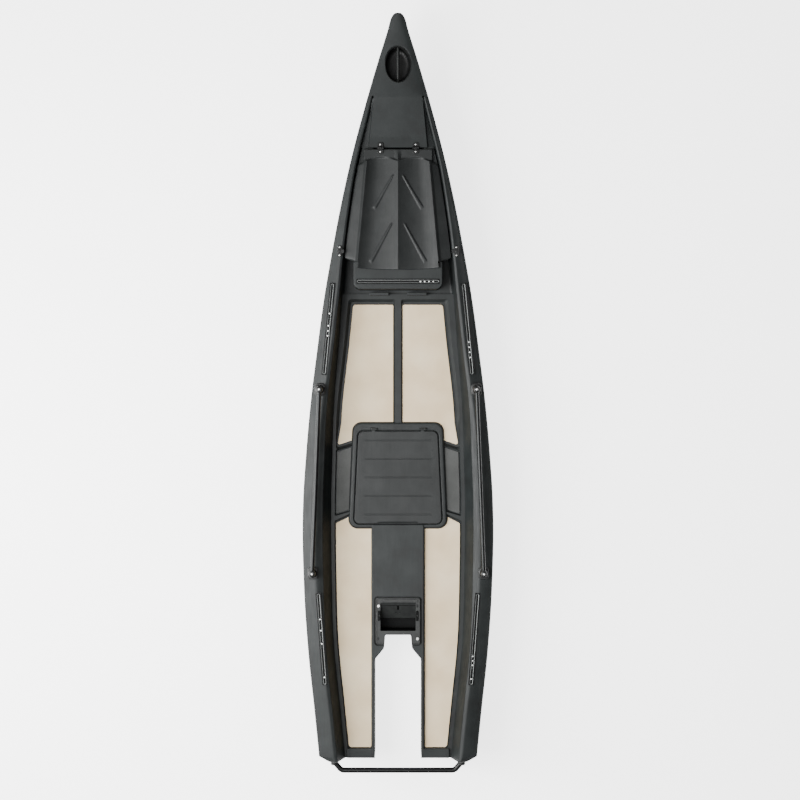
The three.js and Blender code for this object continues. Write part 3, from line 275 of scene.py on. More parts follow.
def turned(profile, centre=(0, 0, 0), axis="z", sides=32):
    # a profile of (radius, height) spun round an axis through the centre
    profile = np.asarray(profile, float)
    angle = np.arange(sides) * 2 * math.pi / sides
    radius, height = profile[:, :1], profile[:, 1:]
    flat = [radius * np.cos(angle), radius * np.sin(angle), height + 0 * angle]
    order = {"z": (0, 1, 2), "y": (0, 2, 1), "x": (2, 0, 1)}[axis]
    return ringsMesh(np.stack([flat[k] for k in order], -1) + np.asarray(centre, float))


def rod(radius, low, high, centre=(0, 0, 0), axis="z", sides=32):
    return turned([(radius, low), (radius, high)], centre, axis, sides)


def pin(half, centre):
    # a hinge pin along x with both ends eased
    r, eased, run = 3, 2.4, 0.6
    profile = [(0.01, -half), (eased, -half), (r, -half + run), (r, half - run), (eased, half), (0.01, half)]
    return turned(profile, centre, "x", 24)


def tube(path, radius, sides=28):
    # a circle carried square to a level path of points
    path = np.asarray(path, float)
    ahead = np.gradient(path, axis=0)
    ahead /= np.linalg.norm(ahead, axis=1)[:, None]
    across = np.cross(ahead, (0, 0, 1))
    across /= np.maximum(np.linalg.norm(across, axis=1), 1e-9)[:, None]
    over = np.cross(across, ahead)
    angle = (np.arange(sides) * 2 * math.pi / sides)[None, :, None]
    circle = across[:, None] * np.cos(angle) + over[:, None] * np.sin(angle)
    return ringsMesh(path[:, None] + circle * radius)


def joined(parts):
    # several shapes as one
    points, faces, base = [], [], 0
    for somePoints, someFaces in parts:
        points.append(somePoints)
        faces += [[base + corner for corner in face] for face in someFaces]
        base += len(somePoints)
    return np.concatenate(points), faces


def mirrored(shape):
    points, faces = shape
    return points * toPort, [face[::-1] for face in faces]


def placed(shape, x=0, y=0, z=0, turn=0):
    # turned about its own Z and moved to a place
    points, faces = shape
    cos, sin = math.cos(turn), math.sin(turn)
    px, py, pz = np.asarray(points).T
    return np.column_stack([px * cos - py * sin + x, px * sin + py * cos + y, pz + z]), faces


# Pieces
def added(name, data):
    thing = bpy.data.objects.new(name, data)
    bpy.context.scene.collection.objects.link(thing)
    return thing


def tidyNormals(mesh, sharp, merge=False):
    # faces turned outwards, and smooth up to edges sharper than the given degrees
    work = bmesh.new()
    work.from_mesh(mesh)
    if merge:
        bmesh.ops.remove_doubles(work, verts=work.verts, dist=0.005 * mm)
    bmesh.ops.recalc_face_normals(work, faces=work.faces)
    work.to_mesh(mesh)
    work.free()
    mesh.polygons.foreach_set("use_smooth", np.ones(len(mesh.polygons), bool))
    mesh.set_sharp_from_angle(angle=math.radians(sharp))


def newPiece(name, shape, sharp=30):
    points, faces = shape
    mesh = bpy.data.meshes.new(name)
    mesh.from_pydata((np.asarray(points, float).reshape(-1, 3) * mm).tolist(), [], faces)
    tidyNormals(mesh, sharp, merge=True)
    return added(name, mesh)


def pointsOf(mesh):
    points = np.empty(3 * len(mesh.vertices))
    mesh.vertices.foreach_get("co", points)
    return points.reshape(-1, 3) / mm


def shapeOf(piece):
    # the piece's points and faces, with the piece itself removed
    shape = pointsOf(piece.data), [list(face.vertices) for face in piece.data.polygons]
    bpy.data.objects.remove(piece)
    return shape


def baked(piece, sharp=30):
    # the piece's modifiers applied to its mesh
    graph = bpy.context.evaluated_depsgraph_get()
    made = bpy.data.meshes.new_from_object(piece.evaluated_get(graph))
    piece.modifiers.clear()
    old, piece.data = piece.data, made
    made.name = piece.name
    bpy.data.meshes.remove(old)
    tidyNormals(made, sharp)
    return piece


def combine(piece, operation, shapes, sharp=30):
    # closed shapes joined to the piece, cut from it or met with it, one after another
    for shape in shapes:
        tool = newPiece("tool", shape)
        step = piece.modifiers.new("combine", "BOOLEAN")
        step.operation, step.solver, step.object = operation, "MANIFOLD", tool
        baked(piece, sharp)
        bpy.data.objects.remove(tool)
    return piece


def cut(piece, *shapes, sharp=30):
    return combine(piece, "DIFFERENCE", shapes, sharp)


def fuse(piece, *shapes):
    return combine(piece, "UNION", shapes)


def copied(node, width):
    # a merged copy of a node's mesh with its edges rounded
    work = bmesh.new()
    work.from_mesh(frame["nodes"][node].data)
    bmesh.ops.remove_doubles(work, verts=work.verts, dist=0.01 * mm)
    bmesh.ops.dissolve_limit(work, angle_limit=math.radians(1), verts=work.verts, edges=work.edges)
    mesh = bpy.data.meshes.new(node + "_shape")
    work.to_mesh(mesh)
    work.free()
    piece = added(node + "_shape", mesh)
    step = piece.modifiers.new("soften", "BEVEL")
    step.width, step.segments = width * mm, 2
    step.limit_method, step.angle_limit = "ANGLE", math.radians(35)
    return baked(piece, 35)


def fit(piece, material, *nodeNames, body=None, slotName=None):
    # finish, body and the nodes that the piece stands for; its slot is looked up but not given to it
    piece.data.materials.clear()
    piece.data.materials.append(material)
    step = piece.modifiers.new("many-sided faces split", "TRIANGULATE")
    step.min_vertices, step.ngon_method = 5, "BEAUTY"
    step = piece.modifiers.new("flat faces lead the normals", "WEIGHTED_NORMAL")
    step.keep_sharp = True
    body = body or (bodyOf[nodeNames[0]] if nodeNames else "hull")
    slotName = slotName or slotOf[material.name]
    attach(piece, body)
    if nodeNames:
        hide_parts(*nodeNames)
    return piece


def put(name, shape, material, *nodeNames, **settings):
    return fit(newPiece(name, shape), material, *nodeNames, **settings)


# Materials
def linear(hexColour):
    channels = [int(hexColour[k:k + 2], 16) / 255 for k in (1, 3, 5)]
    return [c / 12.92 if c <= 0.04045 else ((c + 0.055) / 1.055) ** 2.4 for c in channels] + [1]


def addNode(tree, kind, values=None, links=None, **settings):
    made = tree.nodes.new(kind)
    for name, value in settings.items():
        setattr(made, name, value)
    for socket, value in (values or {}).items():
        made.inputs[socket].default_value = value
    for socket, source in (links or {}).items():
        tree.links.new(source, made.inputs[socket])
    return made


def noiseAt(tree, place, size, detail, stretch=(1, 1, 1)):
    # noise whose features are about size millimetres across, stretched along the axes
    scale = [1 / (size * mm * s) for s in stretch]
    mapped = addNode(tree, "ShaderNodeMapping", {"Scale": scale}, {"Vector": place})
    made = addNode(tree, "ShaderNodeTexNoise", {"Scale": 1, "Detail": detail}, {"Vector": mapped.outputs[0]})
    return made.outputs[0]


def valueRamp(tree, factor, low, high, start=0.3, end=0.7):
    made = addNode(tree, "ShaderNodeMapRange", {1: start, 2: end, 3: low, 4: high}, {"Value": factor})
    return made.outputs[0]


slotOf = {}  # the slot of each material


def surface(name, slotName, colours, wear, sockets, tone=None, grain=None,
            roughness=None, flecks=None, bump=None, spread=0.2):
    # colours follow the tone noise, roughness and flecks the wear noise, bump the grain; each noise
    # is a size in millimetres, its detail and its stretch
    material = bpy.data.materials.new(name)
    material.use_nodes = True
    slotOf[name] = slotName
    tree = material.node_tree
    tree.nodes.clear()
    place = addNode(tree, "ShaderNodeTexCoord").outputs["Object"]
    shader = addNode(tree, "ShaderNodeBsdfPrincipled", sockets)
    addNode(tree, "ShaderNodeOutputMaterial", links={0: shader.outputs[0]})
    worn = noiseAt(tree, place, *wear)
    tinted = addNode(tree, "ShaderNodeValToRGB", links={"Fac": noiseAt(tree, place, *tone) if tone else worn})
    elements, colour = tinted.color_ramp.elements, tinted.outputs[0]
    while len(elements) < len(colours):
        elements.new(0.5)
    positions = np.linspace(0.5 - spread, 0.5 + spread, len(colours))
    for element, position, hexColour in zip(elements, positions, colours):
        element.position, element.color = position, linear(hexColour)
    if flecks:
        fleck, most, start, end = flecks
        amount = valueRamp(tree, worn, 0, most, start, end)
        mixed = addNode(tree, "ShaderNodeMix", {7: linear(fleck)}, {0: amount, 6: colour}, data_type="RGBA")
        colour = mixed.outputs[2]
    tree.links.new(colour, shader.inputs["Base Color"])
    if roughness:
        tree.links.new(valueRamp(tree, worn, *roughness), shader.inputs["Roughness"])
    if bump:
        strength, distance = bump
        height = noiseAt(tree, place, *grain) if grain else worn
        values = {"Strength": strength, "Distance": distance * mm}
        raised = addNode(tree, "ShaderNodeBump", values, {"Height": height})
        tree.links.new(raised.outputs[0], shader.inputs["Normal"])
    return material


def rotomouldedPolyethylene(name, slotName, colours, sheen=0.26):
    # powder melted in the mould leaves a soft satin skin with a faint orange peel, drawn at 5 mm to
    # show, cloudy pigment from deep to light, and fine scuffs along the hull
    return surface(name, slotName, colours, (7, 5, (1, 14, 1)), {"IOR": 1.51, "Specular IOR Level": sheen},
                   tone=(90, 4), grain=(5, 2), roughness=(0.48, 0.6), flecks=("#3e4141", 0.16, 0.64, 0.8),
                   bump=(0.25, 0.6))


def evaFoam(name, slotName, *colours):
    # closed cells cut and brushed, so no gloss, with small pores drawn at 3 mm to show, and slow
    # changes of tone over a sheet
    return surface(name, slotName, colours, (3, 2), {"IOR": 1.45, "Specular IOR Level": 0.25}, tone=(160, 3),
                   roughness=(0.85, 0.95), flecks=(colours[0], 0.45, 0.5, 0.75), bump=(0.4, 0.5))


def filledNylon(name, low, high, sheen=0.35):
    # glass filled, injection moulded and near black, with a fine spark-eroded grain
    return surface(name, "black_plastic", (low, high), (2, 2), {"IOR": 1.53, "Specular IOR Level": sheen},
                   tone=(25, 2), roughness=(0.38, 0.55), bump=(0.2, 0.2), spread=0.15)


def anodisedAluminium(name, slotName, low, high, roughness):
    # drawn lines run along the profile, and the metal shows in the gloss
    return surface(name, slotName, (low, high), (1.5, 4, (1, 40, 1)), {"Metallic": 0.85},
                   roughness=(roughness, roughness + 0.14), bump=(0.15, 0.1))


def steel(name, low, high, roughness):
    # turned and bright, or blackened in a bath that leaves it nearly black
    return surface(name, "stainless", (low, high), (1.2, 3), {"Metallic": 1},
                   roughness=(roughness, roughness + 0.14))


# from the deep of a pigment cloud to its light
hullColours, hatchColours = ("#1c1e1e", "#202323", "#242727"), ("#1d1f1f", "#212323", "#252727")
hullPlastic = rotomouldedPolyethylene("rotomoulded_hull_polyethylene", "hull_plastic", hullColours)
# the cockpit's walls take a copy of the hull's plastic with little gloss, so they look darker: painted shade
shadedWallPlastic = rotomouldedPolyethylene("rotomoulded_shaded_wall_polyethylene", "hull_plastic", hullColours, 0.07)
hatchPlastic = rotomouldedPolyethylene("rotomoulded_hatch_polyethylene", "hatch_plastic", hatchColours)
sandFoam = evaFoam("sand_eva_foam", "deck_foam", "#cfba98", "#d8c5a4", "#dfceaf")
greyFoam = evaFoam("grey_eva_foam", "side_foam", "#414241", "#484948", "#4f504f")
blackNylon = filledNylon("black_glass_filled_nylon", "#0b0c0c", "#121313")
# near-black and matt: the latches' own black, and painted shade in the drive mount's pit
mattNylonAndPitShade = filledNylon("matt_black_glass_filled_nylon", "#060707", "#0a0b0b", 0.08)
greyNylon = filledNylon("charcoal_glass_filled_nylon", "#1b1c1c", "#222423")
trackMetal = anodisedAluminium("black_anodised_track", "track_aluminium", "#131414", "#1e1f1f", 0.4)
# light grey on the lips of the tracks' slots: a painted highlight
slotHighlightMetal = anodisedAluminium("painted_highlight_aluminium_edge", "track_aluminium", "#7b7e7d", "#8f9291", 0.52)
tubeMetal = anodisedAluminium("black_anodised_tube", "black_tube", "#1c1d1d", "#292a2a", 0.27)
stainless = steel("turned_stainless_steel", "#d0d1d0", "#e4e4e1", 0.26)
blackenedSteel = steel("blackened_steel", "#161616", "#242424", 0.45)
# extruded sponge rubber, matt and nearly black
sealRubber = surface("epdm_sponge_rubber", "seal_rubber", ("#141414", "#202020"), (2, 3), {},
                     roughness=(0.8, 0.95), bump=(0.3, 0.3))
print("materials made")

# The hull below its seam: a shell with the stern slot cut through it
hull = {
    "around": 44, "stations": 150, "stemWall": 12, "openAbove": 30,
    "slotLength": 603, "slotHalf": 113, "slotNeckHalf": (63, 68), "slotNeckLength": 66,
    "slotFlareLength": 55, "slotFillet": 7, "sleeveWall": 6, "sleeveTop": floorZ - 6.3,
    "overrun": 40, "underWall": 9.5, "drainPlace": (245, 76), "drainRadius": 11.4,
}
slotFrontY = sternY + hull["slotLength"]


def stationsBetween(front, aft, count):
    # places from front to aft, closer together at the bow and at the stern's corner
    base = bowY - hullLength * np.linspace(0, 1, count) ** 1.25
    inside = np.append(base, sternY + lines["sternCorner"][1])
    inside = inside[(inside < front - 2) & (inside > aft + 2)]
    return np.concatenate([[front], np.sort(inside)[::-1], [aft]])


def rowsAt(x, ys, z):
    # points from rows of x and z, one row at each station
    return np.stack(np.broadcast_arrays(x, ys[:, None], z), -1)


def hullRings(ys, wall, openAbove=0):
    # the section's shares eased along an index, times the half beam and the keel to seam height
    shares = np.array(lines["sectionShares"], float)
    index = np.linspace(0, 1, len(shares))
    t = np.linspace(0, 1, hull["around"])
    across, vee, flat, roof = [along(np.column_stack([index, shares[:, k]]), t) for k in range(4)]
    full = shareAt(lines["fullnessShares"], ys)[:, None]
    tunnel = lines["tunnelHeight"] * shareAt(lines["tunnelShares"], ys)[:, None]
    keel = bowRise(ys, "stemRise")[:, None]
    z = keel + (seamZ - keel) * mix(vee, flat, full) + roof * tunnel + wall
    if openAbove:
        z[:, -1] = seamZ + openAbove
    side = rowsAt(across * (edge(ys) - wall)[:, None], ys, z)
    return np.concatenate([side[:, :0:-1] * toPort, side], axis=1)


def slotPlan(grown=0):
    # the stern slot: a narrow neck, a flare and a straight run out of the stern
    neck, end = hull["slotNeckHalf"]
    neckY = slotFrontY - hull["slotNeckLength"]
    starboard = [(neck + grown, slotFrontY + grown), (end + grown, neckY + grown),
                 (hull["slotHalf"] + grown, neckY - hull["slotFlareLength"] + grown),
                 (hull["slotHalf"] + grown, sternY - hull["overrun"])]
    radii = [(hull["slotFillet"] + grown) * share for share in (1, 3, 3, 0)]
    return rounded(starboard + [(-x, y) for x, y in starboard[::-1]], radii + radii[::-1], 4)


def overTransom():
    # what lies over the transom: the floor and its sill, between the gunwales' sloping ends
    out, foot = edge(sternY), wallFoot(sternY)
    near, beyond = foot + hull["underWall"], out + 6
    slope = (seamZ - floorZ) / (out - foot)
    half = [(near, hull["sleeveTop"]), (near, floorZ + slope * (near - foot)),
            (beyond, floorZ + slope * (beyond - foot)), (beyond, seamZ + hull["openAbove"])]
    section = half + [(-x, z) for x, z in half[::-1]]
    ends = (sternY - 10, sternY + lines["shellWall"] + 1)
    return ringsMesh([[(x, y, z) for x, z in section] for y in ends])


def makeHull():
    wall, over, (x, z) = lines["shellWall"], hull["overrun"], hull["drainPlace"]
    outer = ringsMesh(hullRings(stationsBetween(bowY, sternY, hull["stations"]), 0))
    inside = stationsBetween(bowY - hull["stemWall"], sternY + wall, hull["stations"])
    sleeve = newPiece("sleeve", slab(slotPlan(hull["sleeveWall"]), 0, hull["sleeveTop"]))
    combine(sleeve, "INTERSECT", [outer])
    piece = newPiece("hull", outer)
    cut(piece, ringsMesh(hullRings(inside, wall, hull["openAbove"])))
    fuse(piece, shapeOf(sleeve))
    drain = rod(hull["drainRadius"], -over, over, (x, sternY, z), "y")
    cut(piece, slab(slotPlan(), -over, seamZ + over), drain, overTransom())
    fit(piece, hullPlastic, "hull_shell")


makeHull()
print("hull made")

# Gunwales: a rounded deck either side, whose inner leg is the cockpit's wall
gunwale = {
    "startFromBow": 395, "shoulder": 12, "innerShoulder": 6, "innerDrop": 13,
    "outerDrops": [(0, 12), (0.2, 14), (0.3, 20), (0.44, 20), (0.56, 10), (1, 12)],
    "crestShares": [(0, 0.12), (0.44, 0.14), (0.58, 0.32), (0.74, 0.38), (0.86, 0.2), (1, 0.14)],
    "bendShare": 1.35, "cove": 13, "arcSteps": 5, "topSteps": 20, "endRound": 8, "stations": 190,
    "inboard": -0.6,  # faces that look inboard by more than this are the wall
}
grooveStartY = bowY - gunwale["startFromBow"]


def archDrop(share, width, y):
    # nothing at the crest, then a curve down to each shoulder, deeper on a wide gunwale
    crest = shareAt(gunwale["crestShares"], y)
    outboard = np.clip((share - crest) / (1 - crest), 0, 1)
    inboard = np.clip((crest - share) / crest, 0, 1)
    drop = shareAt(gunwale["outerDrops"], y) * (1 - crest) * outboard ** gunwale["bendShare"]
    drop += gunwale["innerDrop"] * crest * inboard ** gunwale["bendShare"]
    return 2 * drop * width / lines["gunwaleWidth"]


def gunwaleRings(ys):
    # up the outer side, round the shoulder, over the arch, down the wall and along its cove
    out, inTop, inFoot, floor = edge(ys), innerTop(ys), wallFoot(ys), floorZ + clearance
    width, lean = out - inTop, (inTop - inFoot) / (deckZ - floorZ)
    fromEnd = ramp(ys, sternY, sternY + gunwale["endRound"])
    top = deckTop(ys) - gunwale["endRound"] * (1 - np.sqrt(1 - (1 - fromEnd) ** 2))
    r, q, c = (np.minimum(gunwale[key], width * share)
               for key, share in (("shoulder", 0.3), ("innerShoulder", 0.2), ("cove", 0.3)))
    outerZ, innerZ = (top - archDrop(share, width, ys) for share in (1, 0))
    arc = quarter(1, gunwale["arcSteps"])
    profile = [(out, seamZ + clearance)]
    profile += [(out - r * across, outerZ - r * down) for across, down in arc]
    profile += [(mix(inTop + q, out - r, share), top - archDrop(share, width, ys))
                for share in np.linspace(1, 0, gunwale["topSteps"])[1:-1]]
    profile += [(inTop + q * across, innerZ - q * down) for across, down in arc[::-1]]
    profile += [(inFoot + lean * c * down - c * across, floor + c * down) for across, down in arc]
    profile.append((inFoot, floor))
    return np.stack([np.stack(np.broadcast_arrays(x, ys, z), -1) for x, z in profile], axis=1)


def trackPlaces(node):
    # the middle, turn and length of a track, from its two ends' rows of corners
    points = pointsOf(frame["nodes"][node].data)
    middle = (points.min(0) + points.max(0)) / 2
    flat = points[:, :2] - points[:, :2].mean(0)
    vectors = np.linalg.eigh(flat.T @ flat)[1]
    run = vectors[:, 1] * (1 if vectors[1, 1] > 0 else -1)
    if abs(run[1]) < 0.5:
        run = np.array([-1.0, 0.0])
    return {"x": middle[0], "y": middle[1], "z": points[:, 2].max(), "turn": math.atan2(-run[0], run[1])}, \
        np.ptp(points[:, :2] @ run)


track = {
    "width": 26, "depth": 10, "slot": 9, "cavity": 17, "lip": 2.8, "cavityDepth": 5, "edge": 0.9,
    "corner": 3, "endLand": 6.3, "endWall": 3, "bevel": 2.3, "bevelRise": 0.5,
}
tracks = {name: trackPlaces(name) for name in (
    "starboard_front_track", "starboard_rear_track", "port_front_track", "port_rear_track", "dash_track")}


def pocketFor(name):
    place, length = tracks[name]
    half, reach = track["width"] / 2 + clearance, length / 2 + clearance
    return placed(box((-half, half), (-reach, reach), (-track["depth"] - clearance, past)), **place)


def makeGunwale(side, sign):
    ys = stationsBetween(grooveStartY - clearance, sternY, gunwale["stations"])
    near = sternY + gunwale["endRound"] * np.array([0.75, 0.5, 0.3, 0.15, 0.05])
    shape = ringsMesh(gunwaleRings(np.unique(np.concatenate([ys, near]))[::-1]))
    piece = newPiece(f"{side}_gunwale_deck", shape if sign > 0 else mirrored(shape))
    cut(piece, pocketFor(f"{side}_front_track"), pocketFor(f"{side}_rear_track"))
    fit(piece, hullPlastic, f"{side}_gunwale")
    # the faces of the cockpit's wall, which look inboard, take the duller plastic, whose darkness is painted
    # shade
    piece.data.materials.append(shadedWallPlastic)
    normals = np.empty(3 * len(piece.data.polygons))
    piece.data.polygons.foreach_get("normal", normals)
    piece.data.polygons.foreach_set("material_index", (normals[::3] * sign < gunwale["inboard"]).astype(int))


for side, sign in boatSides:
    makeGunwale(side, sign)
print("gunwales made")

# Bow deck with its oval recess, and the foredeck between two grooves
bow = {
    "hingeFromBow": 640, "panelHalf": (118, 141), "panelFrontFromBow": 402, "panelFade": 60,
    "panelStep": 15, "panelStepRun": 4, "sideFall": 5, "shelf": (300, 306), "shelfGap": 8,
    "shelfRun": (10, 96), "shelfHalf": 120, "crown": 6, "shoulder": 14, "edgeFall": 3, "acrossSteps": 30,
    "drop": 6, "dropLength": 190, "grooveGap": 1.5, "foredeckDepth": 30, "foredeckEdge": 4, "aftFromHinge": 4,
    "lap": 14, "shadeCupWall": 3, "shadeCupEdge": 3, "recessFromBow": 241, "recessSize": (120, 169), "recessDepth": 42,
    "recessLip": 3, "recessFloorRadius": 22, "dotRadius": 6, "dotDepth": 24, "bulkhead": (6, 3, 20),
}
# The front hatch's frame, which the shelves beside it meet
coaming = {
    "behindHinge": (30, 550), "top": 296, "wall": 5, "flange": 18, "flangeDepth": 6, "radius": 24,
    "ledge": 3, "frontTrench": 13, "aftTrench": 47, "edge": 2.5,
}
hingeY = bowY - bow["hingeFromBow"]
coamingFrontY, coamingAftY = (hingeY - behind for behind in coaming["behindHinge"])
coamingHalves = (innerFoot(coamingFrontY) - coaming["frontTrench"],
                 innerFoot(coamingAftY) - coaming["aftTrench"])
panelFrontY = bowY - bow["panelFrontFromBow"]
handleY = bowY - bow["recessFromBow"]
handleZ = middleOf("bow_handle")[2]


def coamingHalfAt(y):
    return mix(*coamingHalves, ramp(coamingFrontY - y, 0, coamingFrontY - coamingAftY))


def bowTop(x, y):
    # the sheer's height plus a crown that fades out aft of where the grooves start
    aft = ramp(grooveStartY - y, 0, bow["dropLength"])
    return deckTop(y) - bow["drop"] * aft + bow["crown"] * (1 - aft) * (1 - (x / halfBeam(y)) ** 2)


def deckRings(ys, half, r, steps, xs, top, footZ):
    # a foot, a rounded shoulder and the top, then the shoulder and foot to port
    across, down = np.array(quarter(1, steps)[:-1]).T
    side = np.hstack([rowsAt(half, ys, footZ), rowsAt(half - r * across, ys, top[:, :1] - r * down)])
    return np.hstack([side, rowsAt(xs, ys, top), side[:, ::-1] * toPort])


def bowRings(ys):
    # across the deck under its crown, which falls by the sixth power towards each shoulder
    half = edge(ys)[:, None]
    r = np.minimum(bow["shoulder"], half * 0.45)
    share = np.linspace(1, -1, bow["acrossSteps"])
    xs = share * (half - r)
    top = bowTop(xs, ys[:, None]) - bow["edgeFall"] * np.abs(share) ** 6 * np.minimum(1, half / 100)
    return deckRings(ys, half, r, 6, xs, top, seamZ + clearance)


def panelHalf(y):
    near, far = bow["panelHalf"]
    return mix(near, far, ramp(panelFrontY - y, 0, panelFrontY - hingeY))


def foredeckTop(x, y):
    # flat over the panel, then a small step and a slope down to the groove; level at the front
    beside = np.abs(x) - panelHalf(y)
    reach = np.maximum(innerTop(y) - bow["grooveGap"] - panelHalf(y), 1)
    fall = bow["panelStep"] * ramp(beside, 0, bow["panelStepRun"]) + bow["sideFall"] * ramp(beside, 0, reach)
    return bowTop(x, y) - ramp(panelFrontY - y, 0, bow["panelFade"]) * fall


def foredeckRings(ys):
    # across the panel, with the step and slope either side sampled apart from it
    half, e = (innerTop(ys) - bow["grooveGap"])[:, None], bow["foredeckEdge"]
    panel = np.minimum(panelHalf(ys)[:, None], half - e - 4)
    outer = mix(panel + bow["panelStepRun"], half - e, np.linspace(1, 0, 5))
    xs = np.concatenate([outer, np.linspace(1, -1, 21) * panel, -outer[:, ::-1]], axis=1)
    top = foredeckTop(xs, ys[:, None])
    return deckRings(ys, half, e, 4, xs, top, top[:, :1] - bow["foredeckDepth"])


def oval(grown, z):
    # an outline round the handle, so much larger all round than the recess
    angle = np.arange(64) * math.pi / 32
    width, length = bow["recessSize"]
    across, ahead = (width / 2 + grown) * np.cos(angle), handleY + (length / 2 + grown) * np.sin(angle)
    return np.stack([across, ahead, z + 0 * angle], -1)


def bowlRings(grown):
    # ovals stacked from the rounded floor up to the deck
    floor = handleZ - bow["recessDepth"] - grown
    return [oval(grown - drawn, floor + up) for up, drawn in quarter(bow["recessFloorRadius"], 7)]


def recessMesh():
    # the hole for the cup, with a lip that flares out at the deck
    lip, lipZ, grown = bow["recessLip"], bowTop(0, handleY), bow["shadeCupWall"] + clearance
    flare = [oval(grown + out, lipZ - down - 1) for out, down in quarter(lip, 5)]
    return ringsMesh(bowlRings(grown) + flare + [oval(grown + lip, lipZ + past)])


def shadeCupMesh():
    # a cup let into the deck, its rim rounded and level with the lip's foot; its black is painted shade in
    # the recess
    wall, top, e = bow["shadeCupWall"], bowTop(0, handleY) - bow["recessLip"] + 2, bow["shadeCupEdge"]
    edges = [oval(share * wall, top - e * down) for share, down in ((1, 0.6), (0.7, 0), (0.3, 0), (0, 0.6))]
    return ringsMesh(bowlRings(wall) + edges + bowlRings(0)[::-1])


def shelfPlan(sign):
    # the hull's own shelf either side of the front hatch's hinge edge
    ahead, behind = bow["shelfRun"]
    ys = np.linspace(hingeY + ahead, hingeY - behind, 12)
    outer = np.column_stack([innerTop(ys) - bow["shelfGap"], ys])
    inner = [(coamingHalfAt(y) - 1 if y < coamingFrontY else bow["shelfHalf"], y) for y in ys[::-1]]
    return np.concatenate([outer, inner]) * (sign, 1)


def makeBow():
    nose = bowY - np.array([0.4, 1.2, 2.6, 4.8, 8])
    ys = np.unique(np.concatenate([stationsBetween(bowY, grooveStartY, 120), nose]))[::-1]
    piece = newPiece("bow_deck_skin", ringsMesh(bowRings(ys)))
    aft = hingeY + bow["aftFromHinge"]
    fuse(piece, ringsMesh(foredeckRings(np.linspace(grooveStartY + bow["lap"], aft, 50))))
    x, z, deep = innerTop(grooveStartY) - bow["grooveGap"] / 2, deckTop(grooveStartY), bow["dotDepth"]
    cut(piece, recessMesh(), *(rod(bow["dotRadius"], -deep, deep, (s * x, grooveStartY, z)) for s in (1, -1)))
    wall, gap, under = bow["bulkhead"]
    half = innerFoot(hingeY) - gap
    bulkhead = box((-half, half), (aft, aft + wall), (floorZ + clearance, deckTop(hingeY) - under))
    fuse(piece, bulkhead, *(slab(shelfPlan(sign), *bow["shelf"], radius=1.5) for sign in (1, -1)))
    fit(piece, hullPlastic, "bow_deck")


makeBow()
# the cup's black nylon is painted shade in the recess round the handle
put("bow_deck_shade_cup", shadeCupMesh(), blackNylon, "bow_deck", slotName="hull_plastic")

# Carry handle: a rod with a ribbed grip over its middle
handle = {"radius": 8, "neck": 5.5, "gripShare": 0.72, "ribs": 11, "ribDepth": 0.7}


def handleMesh():
    reach = boxOf("bow_handle")[1][1] - handleY
    y = np.linspace(-reach, reach, 121)
    ribs = handle["ribDepth"] * (0.5 - 0.5 * np.cos(y / reach * math.pi * handle["ribs"] * 2))
    radius = np.where(np.abs(y) < reach * handle["gripShare"], handle["radius"] - ribs, handle["neck"])
    return turned([(0.01, -reach)] + list(zip(radius, y)) + [(0.01, reach)], (0, handleY, handleZ), "y", 24)


put("bow_handle_grip", handleMesh(), greyNylon, "bow_handle")
print("bow made")

# Cockpit floor: a plate with the spine, the rim of the centre hatch, the stern sill and a rib
lidLow, lidLength = boxOf("center_hatch_lid")[0], 452
lidFrontY, lidAftY = lidLow[1] + lidLength, lidLow[1]
lid = {
    "frontHalf": innerFoot(lidFrontY) - 121, "aftHalf": innerFoot(lidAftY) - 107, "radius": 26,
    "gap": 3, "ledge": 18, "ledgeZ": 218, "edge": 4, "grooves": 5, "grooveMargin": 22,
    "grooveRadius": 7, "grooveDepth": 1.2, "hingeSpread": 120, "hingeFront": 10, "knuckle": 6,
    "knuckleWidth": 16, "earWidth": 8, "scoopWidth": 210, "scoopRadius": 15, "scoopDepth": 9, "top": 238,
    "scoopAft": 3, "grooveEnds": (0.8, 3, 9), "scoopEnds": (0.7, 4, 14),
}
lidHingeY, lidHingeZ = lidFrontY + lid["hingeFront"], boxOf("starboard_lid_pin")[0][2] + 3
rim = {"front": 42, "aft": 23, "side": 27, "radius": 44, "top": 232, "edge": 10, "innerEdge": 5}
floorPlan = {
    "under": 6, "spineHalf": 127, "spineTop": 236, "spineEdge": 5, "sillLength": 47, "ribHalf": 20,
    "pit": 90.6, "pitY": (35.4, 166.6), "mountHalf": 109, "mountCorner": 12, "channel": (7, 13),
    "marginUnderWall": 9, "borderTop": 226, "trayRadius": 17, "stations": 90,
}
pads = {
    "thickness": 6, "gap": 3, "radius": 12, "edge": 1.8, "frontSetback": 44, "frontMargin": 36,
    "frontAftFromRim": 111, "frontSlant": 35, "sideFront": 145, "sideAft": 445, "sideSlant": 34,
    "sideMargin": 20, "rearMargin": 19, "rearFront": 493, "rearSlant": 44, "stations": 24,
    "tailReach": 8,  # of the front tray, beside the side pads
}
# How far a tray reaches past its pad: at the foot and at the top of its sloping side
trays = {
    "front": ((11, 13, 2.5), (26, 27, 8)), "side": ((3, 5, 0), (8, 13, 0)), "rear": ((3, 5, 0), (8, 13, 0)),
}
rimFrontY, rimAftY = lidFrontY + rim["front"], lidAftY - rim["aft"]
floorFoot = floorZ - floorPlan["under"]
mountPlan = oblong(floorPlan["mountHalf"], driveLow[1], driveHigh[1], floorPlan["mountCorner"])


def taper(frontY, aftY, frontHalf, aftHalf, radius, grown):
    corners = [(frontHalf + grown, frontY + grown), (-frontHalf - grown, frontY + grown),
               (-aftHalf - grown, aftY - grown), (aftHalf + grown, aftY - grown)]
    return rounded(corners, max(radius + grown, 2), 8)


def lidPlan(grown=0):
    return taper(lidFrontY, lidAftY, lid["frontHalf"], lid["aftHalf"], lid["radius"], grown)


def rimPlan(grown=0):
    frontHalf, aftHalf = lid["frontHalf"] + rim["side"], lid["aftHalf"] + rim["side"]
    return taper(rimFrontY, rimAftY, frontHalf, aftHalf, rim["radius"], grown)


